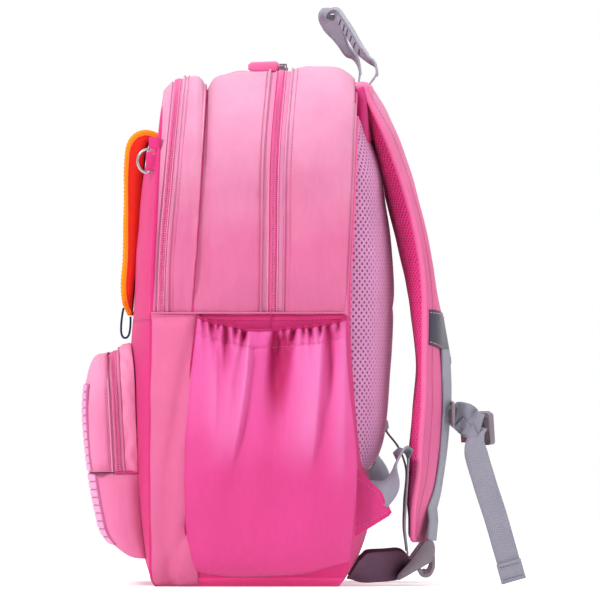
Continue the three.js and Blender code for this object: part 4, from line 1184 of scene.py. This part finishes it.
def side_pocket_points(side, across, z):
    """Points on the side pocket: across runs from 0 at its front seam to 1 at its rear seam."""
    y = lerp(side_pocket_front(z), side_pocket_back(z), across)
    rim = side_pocket_rim(y)
    below = np.maximum(rim - z, 0)
    low = side_pocket_low(y)
    share = np.clip((z - low) / (rim - low), 0, 1)
    swell = np.sin(np.pi * np.clip(across, 0, 1)) ** 0.5 * np.minimum(1, share * 8) ** 0.5
    belly = lerp(16, 8.5, np.clip(share * 2 - 1, 0, 1))
    turn = np.arccos(np.clip((BOTTOM_RADIUS - z) / BOTTOM_RADIUS, 0, 1))
    wall = HALF_WIDTH - BOTTOM_RADIUS + BOTTOM_RADIUS * np.sin(turn)
    folds = np.zeros_like(y)
    dips = np.zeros_like(y)
    for place, depth, width, length, lean in GATHERS:
        shape = ridge(y - place - lean * below, width + 0.06 * below)
        folds -= depth * shape * np.exp(-below / length * 1.2)
        dips += depth * shape
    for place, lean, bend, width, height, length in LONG_FOLDS:
        shape = fold_edge(y - place - lean * below - bend * below**2, width)
        folds += height * shape * ease(below / 20) * np.exp(-((below / length) ** 8))
    for place, lean, depth, width, length in HOLLOWS:
        shape = ridge(y - place - lean * below, width)
        folds -= depth * shape * ease(below / 12) * np.exp(-((below / length) ** 4))
    between = 2.6 * np.exp(-below / 26) * (1 - np.clip(dips / 3, 0, 1))
    casing = 1.3 * ridge(below - CASING, 1.5)
    soft = wobble(xyz(y, z * 0.7, side * 50), 30, 51) * 2.2
    stand = 1.7 + belly * swell + (folds + between + soft) * np.clip(swell * 1.5, 0, 1) - casing * swell
    z = z - 0.42 * dips * np.exp(-below / 6)
    points = xyz(side * (wall + np.maximum(stand, 1.6)), y, z)
    return points, folds - dips * np.exp(-below / 9)


def side_pocket_grid(side):
    """The pocket's points and folds, from its lower seam up to its rim."""
    across = np.linspace(0, 1, 170)[None]
    share = np.concatenate([np.linspace(0, 0.75, 60), np.linspace(0.76, 1, 60)])[:, None]
    z = lerp(10, 210, share) + 0 * across
    for _ in range(4):
        y = lerp(side_pocket_front(z), side_pocket_back(z), across)
        z = lerp(side_pocket_low(y), side_pocket_rim(y), share)
    return side_pocket_points(side, across, z)


def side_pockets():
    for side_name, side in SIDES:
        out = (side, 0, 0)

        def pocket_part(name, part, material=pocket_fabric, replaces=()):
            return add(f"side_pocket_{name}_{side_name}", part, material, "bag", replaces)

        grid, folds = side_pocket_grid(side)
        skin = pocket_part("skin", surface(grid, 0.9, out), replaces=[f"side_pocket_{side_name}"])
        # Fold heights that drive the painted highlight on ridges and the painted shade in creases.
        shade = skin.data.attributes.new(FOLD_SHADE, "FLOAT", "POINT")
        shade.data.foreach_set("value", np.tile(np.clip(0.5 + folds / 14, 0, 1).ravel(), 2))
        pocket_part("hem", tube(grid[-1], 1.0, out))
        across = np.linspace(0.02, 0.98, 120)
        line, _ = side_pocket_points(side, across, side_pocket_rim(lerp(-50, 77, across)) - CASING)
        seam = stitches(line + (side * 0.3, 0, 0), out, 2.6, 1.9, 0.26)
        pocket_part("stitches", seam, thread_dark)
        pocket_part("front_seam", tube(grid[:, 0] + (side * 0.2, -0.3, 0), 0.9, out, 6))


# ---- Back pad, yoke and wing tabs ---------------------------------------------------------------

PAD_LOW = 88
PAD_HIGH = 376
PAD_HALF = 118
YOKE_HALF = 91


def back_pad():
    z = np.linspace(PAD_LOW, PAD_HIGH, 130)[:, None]
    across = crowded(120)[None]
    half = PAD_HALF - np.maximum(0, z - 330) * 0.42
    crown = np.clip(1 - np.abs(across) ** 4, 0, 1) ** 0.6
    middle = (z - (PAD_LOW + PAD_HIGH) / 2) / ((PAD_HIGH - PAD_LOW) / 2)
    ends = np.clip(1 - np.abs(middle) ** 14, 0, 1) ** 0.5
    x = across * half
    aside = np.abs(x)
    channel = 6.0 * ridge(aside, 9) + 1.2 * ridge(z - 232 + aside * 0.25, 7) * ease((90 - aside) / 30)
    soft = wobble(xyz(x, 0, z), 40, 61) * 0.8
    grid = xyz(x, lerp(rear_seam(z) + 1.9, pad_face(z) - channel + soft, crown * ends), z)
    pad = add("back_pad_skin", surface(grid, 1.8, (0, 1, 0)), mesh_fabric, "bag", ["back_pad"])
    edge = np.concatenate([grid[:, -1], grid[::-1, 0]]) - (0, 0.6, 0)
    add("back_pad_binding", tube(edge, 1.7, (0, 1, 0)), binding, "bag")


def yoke():
    across = np.linspace(-1, 1, 80)[None]
    z = lerp(354 + 2 * np.abs(across), STRAP_TOP, np.linspace(0, 1, 24)[:, None])
    grid = xyz(across * YOKE_HALF, rear_seam(z) + yoke_depth(z) * (1 - 0.25 * across**6), z)
    add("yoke_skin", surface(grid, 9.0, (0, 1, 0)), deep_fabric, "bag", ["yoke"])
    for name, row in (("low", 4), ("high", -5)):
        add(f"yoke_stitches_{name}", stitches(grid[row] + (0, 0.3, 0), (0, 1, 0)), thread_dark, "bag")


WING_TAB_X = 127


def wing_tabs():
    t = np.linspace(0, 1, 24)[:, None]
    u = np.linspace(0, 1, 24)[None]
    y = lerp(79.5, lerp(112, 104, u), t)
    z = lerp(lerp(39, 99, u), lerp(59, 75, u), t)
    puff = 1.0 * pillow(lerp(0.08, 0.92, u), 0.5) * pillow(lerp(0.2, 0.9, t), 0.5)
    for side_name, side in SIDES:
        out = (side, 0, 0)
        grid = xyz(side * (WING_TAB_X + 1.2 + puff), y, z)
        add(f"wing_tab_skin_{side_name}", surface(grid, 3.4, out), deep_fabric, "bag",
            [f"wing_tab_{side_name}"])
        edge = np.concatenate([grid[:, 0], grid[::-1, -1]]) - (side * 1.5, 0, 0)
        add(f"wing_tab_binding_{side_name}", tube(edge, 1.6, out), hot_fabric, "bag")
        for row in (2, 20):
            line = grid[3:-1, row] + (side * 0.2, 0, 0)
            add(f"wing_tab_stitches_{side_name}_{row}", stitches(line, out), thread_dark, "bag")


# ---- Shoulder straps ----------------------------------------------------------------------------

STRAP_TAPER = 91
STRAP_THICKEST = 11.5


def strap_centre(z):
    return lerp(STRAP_CENTRE, STRAP_CENTRE + 16, (STRAP_TOP - z) / (STRAP_TOP - STRAP_TIP))


def strap_half(z):
    top = lerp(30, 33, ease((STRAP_TOP - z) / 45))
    return top - 18 * ease((STRAP_TAPER - z) / (STRAP_TAPER - STRAP_TIP)) ** 1.2


def strap_points(side, across, z, face):
    """Points on a strap: face is -1 on the inner face, 0 in the middle and 1 on the outer face."""
    inner, outer = strap_back(z), strap_outer(z)
    middle = (inner + outer) / 2
    tilt = 1.3 * (strap_edge(z) - middle)
    half = np.clip((outer - inner) / 2 - 0.45 * np.abs(tilt), 3, STRAP_THICKEST)
    half = half * lerp(0.5, 1.0, ease((z - STRAP_TIP) / 40))
    crown = 1 - 0.8 * np.abs(across) ** 4
    y = middle + tilt * across + face * half * crown
    return xyz(side * (strap_centre(z) + across * strap_half(z)), y, z)


def on_strap(side, across, z, lift):
    """Points above a strap's outer face."""
    return strap_points(side, across, z, 1.0) + (0, lift, 0)


def shoulder_strap(side_name, side):
    body = f"strap_{side_name}"
    z = np.linspace(STRAP_TOP, STRAP_TIP, 150)[:, None]
    across = crowded(34)[None]
    for face_name, face, material, slot, replaced in (
            ("outer", 1, strap_fabric, "strap_fabric", [f"shoulder_strap_{side_name}"]),
            ("inner", -1, strap_mesh, "air_mesh", ())):
        grid = strap_points(side, across, z, face)
        grid[..., 1] += wobble(grid, 30, 71 + face) * 0.9 * (1 - np.abs(across) ** 3)
        piece = add(f"strap_{face_name}_{side_name}", surface(grid, 1.3, (0, face, 0)), material, body,
                    replaced)
    down = np.linspace(STRAP_TOP, STRAP_TIP + 1, 110)
    tip = strap_points(side, np.linspace(0.9, -0.9, 12), STRAP_TIP - 1.0, 0.0)
    line = np.concatenate([strap_points(side, 1.0, down, 0.0), tip,
                           strap_points(side, -1.0, down, 0.0)[::-1]])
    add(f"strap_binding_{side_name}", tube(evenly(line, 300), 2.3, (0, 1, 0), 10), binding, body)
    down = np.linspace(STRAP_TOP - 4, STRAP_TIP + 8, 120)
    for edge_name, across in (("outer", 0.86), ("inner", -0.86)):
        seam = on_strap(side, across, down, 0.4)
        add(f"strap_stitches_{edge_name}_{side_name}", stitches(seam, (0, 1, 0)), thread_dark, body)


STRAP_ROOT = [(83, 390), (82.5, 398), (84, 403), (89, 405), (95, 404), (99, 399.5), (98, 394), (92, 389)]


def strap_root(side_name, side):
    """The end of the strap where it is folded into the seam above the yoke."""
    root = plate(STRAP_ROOT, 61, side * strap_centre(STRAP_TOP), 2.0)
    add(f"strap_root_{side_name}", root, strap_fabric, "bag")


def strap_trims(side_name, side):
    """The reflective patch and the webbing sewn down the strap's outer face."""
    body = f"strap_{side_name}"

    def trim(name, part, material=thread_dark, replaces=()):
        add(name, part, material, body, replaces)

    across = np.linspace(-0.97, 0.97, 30)[None]
    z = lerp(219.5 + 2.5 * across, 185 + 9 * across, np.linspace(0, 1, 26)[:, None])
    grid = on_strap(side, across, z, 0.9)
    trim(f"reflective_patch_{side_name}", surface(grid, 0.8, (0, 1, 0)), reflective)
    for row in (2, 23):
        trim(f"patch_stitches_{side_name}_{row}", stitches(grid[row] + (0, 0.2, 0), (0, 1, 0)), thread)
    down = np.linspace(190, 62, 56)
    share = np.linspace(0.14, 0.0, 56)
    line = on_strap(side, share, down, 1.2)
    across = on_strap(side, share + 0.4, down, 0) - on_strap(side, share - 0.4, down, 0)
    end = [(side * LOCK_X, 147.4, 52), (side * LOCK_X, 146.6, 44), (side * LOCK_X, 145.7, 36.2)]
    whole = np.concatenate([np.concatenate([line, end]), np.concatenate([across, across[-3:]])], 1)
    whole = evenly(whole, 90)
    trim(f"strap_webbing_skin_{side_name}", band(whole[:, :3], whole[:, 3:], WEBBING, 1.6), grey_webbing,
         [f"strap_webbing_{side_name}"])
    for edge_name, shift in (("in", -9.5), ("out", 9.5)):
        seam = on_strap(side, 0.12 + shift / 33, np.linspace(186, 120, 50), 1.9)
        trim(f"webbing_stitches_{side_name}_{edge_name}", stitches(seam, (0, 1, 0)))
    for height in (183, 151, 120):
        seam = on_strap(side, np.linspace(-0.2, 0.44, 12), float(height), 1.9)
        trim(f"webbing_bar_{side_name}_{height}", stitches(seam, (0, 1, 0), 2.2, 1.8))


def lower_webbing(side_name, side):
    """The webbing from the wing tab to the ladder lock, and its tail. The left one loops higher."""
    route = [(127.5, 100, 71), (124, 107.5, 80), (117, 114, 92), (111, 119.4, 103), (107, 123, 108),
             (105, 126, 104), (102, 126.4, 92), (92, 125, 66), (82, 124.4, 46), (75, 126, 30)]
    if side < 0:
        route[1:6] = [(124, 103, 94), (119, 100, 116), (113, 105, 128), (108, 113, 119), (104, 121, 108)]
    line = smooth_path([(side * x, y, z) for x, y, z in route], 90)
    share = ease(np.linspace(0, 1, 90) * 4.2)[:, None]
    across = lerp((side * 4.0, 19, -23.0), (side * 25.0, 0, 0), share)
    add(f"lower_webbing_skin_{side_name}", band(line, across, WEBBING, 1.6), grey_webbing, "bag",
        [f"lower_webbing_{side_name}"])
    route = [(74, 131, 19), (77, 122, 17), (84, 110, 15.4), (92, 97, 14.6), (99, 87, 13.4), (102, 82, 12.6)]
    line = smooth_path([(side * x, y, z) for x, y, z in route], 60)
    t = np.linspace(0, 1, 60)[:, None]
    across = lerp((side, 0.2, 0), (side * 0.1, -0.1, 1.0), ease(t * 3.0))
    across = lerp(across, (side, -0.3, 0.35), ease((t - 0.62) * 2.4))
    # The tail is drawn in the darkened grey webbing, as painted shade where it runs low behind the bag.
    add(f"webbing_tail_skin_{side_name}", band(line, across, WEBBING - 1, 1.6), shaded_webbing,
        f"strap_{side_name}", [f"webbing_tail_{side_name}"])


def plate(outline, width, x, bevel=0.7):
    """A flat shape drawn from the side, with a width across the bag and bevelled edges."""
    count = 80
    loop = smooth_path(list(outline) + [outline[0]], count + 1)[:-1]
    inner = loop + unit(loop.mean(0) - loop) * bevel
    rings = [(inner, -width / 2), (loop, bevel - width / 2), (loop, width / 2 - bevel), (inner, width / 2)]
    points = np.concatenate([xyz(x + shift, *ring_points.T) for ring_points, shift in rings])
    return points, loft_faces(len(rings), count), points[:, 1:]


LOCK_RAIL = [(140.8, 36.6), (147.0, 35.4), (148.6, 28), (146.6, 20), (141, 16.6), (136, 13.6), (130, 10.2),
             (124, 6.8), (118.8, 4.6), (118.0, 7.4), (122.4, 13.4), (128, 19.2), (132, 24.8), (136.6, 31)]
LOCK_LOOP = [(147.0, 24), (146.6, 14), (143.2, 8.6), (138.4, 8.8), (135.4, 13.4)]
RAIL_OFFSET = 15.8
BAR_HALF = 15.6


def ladder_lock(side_name, side):
    """Two curved side rails, bars that grip the webbing, a loop below them and a thumb tab."""
    x = side * LOCK_X
    parts = [plate(LOCK_RAIL, 3.2, x + shift) for shift in (-RAIL_OFFSET, RAIL_OFFSET)]
    loop = smooth_path(LOCK_LOOP, 24).T
    parts += [tube(xyz(x + shift, *loop), 1.7, (1, 0, 0), 10) for shift in (-RAIL_OFFSET, RAIL_OFFSET)]
    for y, z, radius in ((144.2, 33.0, 2.2), (137.6, 26.0, 1.8), (130.4, 18.0, 1.9), (141.0, 8.8, 2.0)):
        parts.append(tube(xyz(x + np.array([-BAR_HALF, -5, 5, BAR_HALF]), y, z), radius, (0, 0, 1), 12))
    tab = smooth_path([(128.5, 15.4), (124.4, 10.6), (120.6, 6.8), (118.6, 5.8)], 12)
    parts.append(band(xyz(x, *tab.T), (1, 0, 0), np.linspace(31, 27, 12), np.linspace(3.6, 2.6, 12)))
    for y, z in tab[[4, 6, 8]]:
        parts.append(tube(xyz(x + np.array([-9, 0, 9]), y - 1.6, z + 1.6), 0.6, (0, 0, 1)))
    add(f"ladder_lock_body_{side_name}", merge(parts), grey_plastic, f"lock_{side_name}",
        [f"ladder_lock_{side_name}"])


# ---- Sternum strap ------------------------------------------------------------------------------

STERNUM_Z = 138


def strap_face(z):
    return float(strap_outer(z)) - 2.4


def keeper(side_name, side):
    body = f"keeper_{side_name}"
    x, y, z = side * strap_centre(STERNUM_Z), strap_face(STERNUM_Z) + 5, STERNUM_Z
    outline = [(13.2, 6.8), (13.2, -6.8), (-13.2, -6.8), (-13.2, 6.8)]
    loop = smooth_path(outline + outline[:1], 60)[:-1]
    parts = [tube(xyz(x + loop[:, 0], y, z + loop[:, 1]), 1.5, (0, 1, 0), 10, closed=True)]
    for dz in (-2.2, 2.2):
        bar = xyz(x + np.array([-12, 0, 12]), y + np.array([0, 0.2, 0]), z + dz)
        parts.append(tube(bar, 1.4, (0, 0, 1), 10))
    add(f"sternum_keeper_body_{side_name}", merge(parts), grey_plastic, body,
        [f"sternum_keeper_{side_name}"])
    wrap = smooth_path([(x, y - 1.4, z), (x, y + 1.9, z), (x + side * 1, y + 3.2, z - 0.5)], 12)
    add(f"keeper_webbing_{side_name}", band(wrap, (0, 0, 1), 12, 1.4), grey_webbing, body)


def sternum_webbing(side_name, side):
    """Short webbing from the keeper to the buckle, creased where it turns, and its folded end."""
    body = f"sternum_{side_name}"
    x, start = strap_centre(STERNUM_Z), strap_face(STERNUM_Z) + 6.4
    route = [(x, start, 137), (x + 0.6, start + 4, 136), (x + 2.6, start + 9, 133.6),
             (x + 3.4, start + 14, 131), (x + 5.0, start + 18, 129.6), (x + 5.4, 186, 128.6)]
    line = smooth_path([(side * a, b, c) for a, b, c in route], 60)
    t = np.linspace(0, 1, 60)
    arch = np.sin(np.pi * t)
    across = xyz(side * (0.3 * np.sin(t * 8) * arch), 0.3 * np.sin(t * 6 + 1) * arch, 1)
    width = SLIM_WEBBING + 6 * np.sin(np.pi * np.clip(t * 1.2, 0, 1))
    add(f"sternum_webbing_skin_{side_name}", band(line, across, width, 1.4), grey_webbing, body,
        [f"sternum_webbing_{side_name}"])
    near = slice(6, 46)
    fold = line[near] + (side * 1.7, 0.4, -3.5)
    fold[:, 2] -= 5 * np.sin(np.pi * t[near] / 0.8)
    add(f"sternum_fold_{side_name}", band(fold, across[near], 12, 1.3), grey_webbing, body)


def sternum_tail():
    x = strap_centre(STERNUM_Z) + 7.6
    route = [(x - 6, 186.5, 127), (x - 2.5, 183, 122), (x + 1, 180.8, 112), (x + 1.4, 188, 84),
             (x + 0.6, 197, 56), (x - 0.6, 204.5, 30), (x, 212, 3.5)]
    line = smooth_path(route, 80)
    across = (0, 1, 0.27)
    width = SLIM_WEBBING - 9 * ease(1 - np.linspace(0, 5, 80))
    add("sternum_tail_skin", band(line, across, width, 1.4), grey_webbing, "sternum_right",
        ["sternum_tail"])
    fold = line[-11:] + (1.5, 0, 0)
    add("sternum_tail_fold", band(fold, across, SLIM_WEBBING + 1.4, 1.5), grey_webbing, "sternum_right")
    for place in (-9, -3):
        seam = line[place] + np.outer(np.linspace(-8.5, 8.5, 12), unit(across)) + (2.4, 0, 0)
        add(f"tail_stitches_{-place}", stitches(seam, (1, 0, 0), 2.2, 1.8), thread_grey, "sternum_right")


# ---- Haul handle, flap and pull cord ------------------------------------------------------------

HANDLE_ROUTE = [(42, 96.5, 404), (45, 101.5, 412), (42, 100.5, 419), (37, 95, 425), (30, 88, 432.5),
                (20, 81, 444.5), (9, 74.5, 454.5), (4, 70, 461.5), (0, 65.5, 463), (-5, 61.6, 459.5),
                (-10, 64.4, 453.5), (-18, 70.5, 445), (-28, 77, 433.5), (-37, 85, 424), (-42, 88.5, 415),
                (-42, 87.5, 405)]


def haul_handle():
    """A loop of webbing, folded in two over the grip and held there by six bars of stitches."""
    line = smooth_path(HANDLE_ROUTE, 160)
    t = np.linspace(0, 1, 160)
    fold = ease((np.sin(np.pi * t) - 0.25) * 2)
    far = ease((t - 0.45) * 5)
    grip_way = lerp((0.88, 0.37, 0.29), (0.1, 0.78, 0.62), far[:, None])
    run = lengths_along(line)
    turn_over = ridge(run - run[np.argmax(line[:, 2])], 5.0)
    across = lerp((1.0, 0, 0), grip_way, (fold * (1 - turn_over))[:, None])
    spread = lerp(11.5, lerp(15, 5.5, ease((t - 0.6) * 4.0)), far)
    width = lerp(WEBBING, spread, fold**0.35)
    thick = lerp(1.6, 3.4, fold)
    add("haul_handle_skin", band(line, across, width, thick), handle_webbing, "handle",
        ["haul_handle"])
    side_way, up = frames_for(line, across)
    grip = np.flatnonzero((line[:, 2] > 431) & (t < 0.5))
    faces = (("up", 1), ("down", -1))
    for k in range(6):
        at = grip[int(len(grip) * (0.02 + 0.15 * k))]
        for name, face in faces:
            row = line[at] + np.outer(np.linspace(-4.4, 2.4, 8), side_way[at]) + up[at] * face * 1.9
            add(f"bartack_{k}_{name}", stitches(row, up[at] * face, 1.5, 1.6, 0.85), thread_grey,
                "handle")
    middle = slice(24, -24)
    for name, face in faces:
        row = line[middle] + side_way[middle] * (width[middle] / 2 - 1.6)[:, None]
        row = row + up[middle] * (face * (thick[middle] / 2 + 0.1))[:, None]
        add(f"handle_stitches_{name}", stitches(row, up[middle] * face), thread_grey, "handle")


FLAP_OUTER = [(-73, 363.5), (-79.6, 366), (-86, 366.6), (-93.5, 363.5), (-99, 356), (-101.3, 340),
              (-102, 300), (-102.6, 265), (-104.3, 240), (-102.5, 226), (-98.8, 217)]
FLAP_INNER = [(-73, 358), (-77, 359), (-80.6, 358.6), (-83, 356), (-84.6, 350), (-86, 338), (-88.6, 300),
              (-91.4, 265), (-94.2, 240), (-95.2, 226), (-95.8, 217)]
FLAP_FACE = 4.2
FLAP_HALF = 58


def flap():
    outer, inner = smooth_path(FLAP_OUTER, 80), smooth_path(FLAP_INNER, 80)
    half = FLAP_HALF - 13 * ease((np.arange(80) - 66) / 13) ** 2
    across = crowded(50)

    def grid(path, share):
        x, y, z = (half * share)[:, None] * across, path[:, :1], path[:, 1:]
        return xyz(x, y + 0.7 * wobble(xyz(x, 0, z), 40, 81), z)

    inward = unit(inner - outer)
    join = outer + inward * FLAP_FACE
    face = grid(outer, 0.985)
    # The core's red is the orange foam darkened as painted shade for the flap's shadowed underside.
    add("flap_core", slab(grid(join, 1.0), grid(inner, 1.0)), flap_core_painted_shade, "flap", ["flap"])
    add("flap_face", slab(face, grid(join, 0.995)), yellow_face, "flap")
    edge = outer + inward * (FLAP_FACE - 0.2)
    for side_name, side in SIDES:
        line = xyz(side * half * 0.992, *edge.T)[1:-1]
        add(f"flap_edge_{side_name}", tube(line, 0.9, (side, 0, 0)), thread_orange, "flap")
    seam = np.concatenate([face[4:-4, 3], face[-4, 3:-3], face[-4:4:-1, -4]]) + (0, -0.25, 0)
    add("flap_stitches", stitches(seam, (0, -1, 0)), thread_orange, "flap")


PULL_ROUTE = [(-102.7, 223.2), (-103.6, 219), (-104.4, 213), (-104.8, 207), (-104.5, 202.4),
              (-102.9, 199.3), (-100.6, 199), (-98.7, 201), (-97.7, 205), (-97.2, 210), (-97.1, 216.2)]
PULL_CORD_DIAMETER = 1.8


def pull_cord():
    route = smooth_path([(0, y, z) for y, z in PULL_ROUTE], 60)
    cord = add("pull_cord_loop", tube(route, PULL_CORD_DIAMETER / 2, (1, 0, 0), 10), navy_cord, "flap",
               ["pull_cord"])


# ---- D-rings and zip pullers --------------------------------------------------------------------

RING_AT = np.array([127.8, -80.2, 340.8])


def d_ring(side_name, side):
    half, reach = 9.4, 9.7
    outline = [(0, -half + 2), (0, half - 2), (-1.2, half - 0.2), (-5, half - 0.9), (-8.4, half - 4.3),
               (-reach, 0), (-8.4, -half + 4.3), (-5, -half + 0.9), (-1.2, -half + 0.2)]
    at = RING_AT * (side, 1, 1)
    points = [at + (0, dy, dz) for dy, dz in outline]
    line = smooth_path(points + points[:1], 73)[:-1]
    add(f"d_ring_wire_{side_name}", tube(line, 1.15, (1, 0, 0), 12, closed=True), ring_steel,
        f"ring_{side_name}", [f"d_ring_{side_name}"])

    def tab_part(name, part, material=hot_fabric, replaces=()):
        add(f"ring_tab_{name}", part, material, "organiser_front", replaces)

    half_loop = [(1.5, 9), (2.0, 3), (1.9, 0), (1.2, -2.2)]
    loop = half_loop + [(0, -2.8)] + [(-dx, dy) for dx, dy in half_loop[::-1]]
    path = smooth_path([at + (dx, dy, 0) for dx, dy in loop], 50)
    tab_part(f"skin_{side_name}", band(path, (0, 0, 1), 14.5, 0.9), replaces=[f"ring_tab_{side_name}"])
    for row, dz in (("low", -5.6), ("high", 5.6)):
        seam = np.array([at + (side * 2.5, dy, dz) for dy in (2, 4, 6, 8)])
        tab_part(f"stitches_{side_name}_{row}", stitches(seam, (side, 0, 0), 2.2, 1.6), thread)
    small = [at + (side * 1.2, dy, 14.5) for dy in (-1, 2, 5, 9)]
    tab_part(f"upper_{side_name}", band(small, (0, 0, 1), 9.5, 2.4))


def soft_bar(points, sides, heights, across):
    """A soft moulded bar along a line, with its own width and height at each point."""
    side_way, up = frames_for(points, across)
    shape = circle(20)
    shape = np.sign(shape) * np.abs(shape) ** 0.55
    size = np.stack([sides, heights], 1)[:, None] / 2
    return sweep(points, side_way, up, shape[None] * size)


TAB_START = 2.8
TAB_DROP = -0.4


def zip_puller(name, at, pin, back, out, body, tab_width, tab_height):
    """A wire link from the slider's bridge and a soft moulded tab on it."""
    at, pin, back, out = (np.asarray(v, float) for v in (at, pin, back, out))
    pivot = at + out * 3.25
    twist = [(3.0, 0), (0, -0.8), (-3.0, 0), (-3.1, 2), (-2.6, 4), (0, 5), (2.6, 4), (3.1, 2)]
    points = [pivot + pin * a - back * b for a, b in twist]
    wire = tube(smooth_path(points + points[:1], 49)[:-1], 0.6, out, 8, closed=True)
    add(f"{name}_wire", wire, slider_zinc, body)
    t = np.linspace(0, 1, 30)
    line = pivot - np.outer(TAB_START + t * 25.5, back) + out * TAB_DROP
    taper = np.clip(np.sin(np.pi * np.clip(t, 0.03, 0.97)) * 3.2, 0, 1) ** 0.5 * lerp(1.05, 0.86, t)
    tab = soft_bar(line, tab_width * taper, tab_height * taper, pin)
    add(f"{name}_tab", tab, puller_rubber, body, [f"{name}_puller"])


MAIN_SLIDER_X = 12
MAIN_SLIDER_Z = 415.3


def zip_pullers():
    """Those of the main zip lie forward on the top, the other two hang on the bag's left side."""
    for side_name, side in SIDES:
        at = (side * MAIN_SLIDER_X, main_zip(MAIN_SLIDER_Z), MAIN_SLIDER_Z)
        zip_puller(f"main_{side_name}", at, (1, 0, 0), (0, 1, 0), (0, 0, 1), f"main_puller_{side_name}",
                   6.4, 8.8)
    for name, x, line, z in (("organiser", -140.6, organiser_zip, 262), ("pocket", -102.6, pocket_zip, 128)):
        zip_puller(name, (x, line(z), z), (0, -1, 0), (0, 0, 1), (-1, 0, 0), f"{name}_puller", 7.4, 3.6)


# ---- The whole bag ------------------------------------------------------------------------------

upper_body()
front_panels()
lower_sides()
dividers()
back()
base()
front_pocket()
side_pockets()
back_pad()
yoke()
wing_tabs()
for strap_name, strap_side in SIDES:
    shoulder_strap(strap_name, strap_side)
    strap_root(strap_name, strap_side)
    strap_trims(strap_name, strap_side)
    lower_webbing(strap_name, strap_side)
    ladder_lock(strap_name, strap_side)
    keeper(strap_name, strap_side)
    sternum_webbing(strap_name, strap_side)
    d_ring(strap_name, strap_side)
sternum_tail()
haul_handle()
flap()
pull_cord()
zip_pullers()

# These CAD parts are detailed enough to be shown as they are.
KEPT_NODES = {"buckle_plug": grey_plastic, "buckle_socket": grey_plastic}
KEPT_NODES |= {f"{name}_slider": slider_zinc for name in ("main_right", "main_left", "organiser", "pocket")}
for node_name, node_material in KEPT_NODES.items():
    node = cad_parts[node_name]
    node.data.materials.clear()
    node.data.materials.append(node_material)
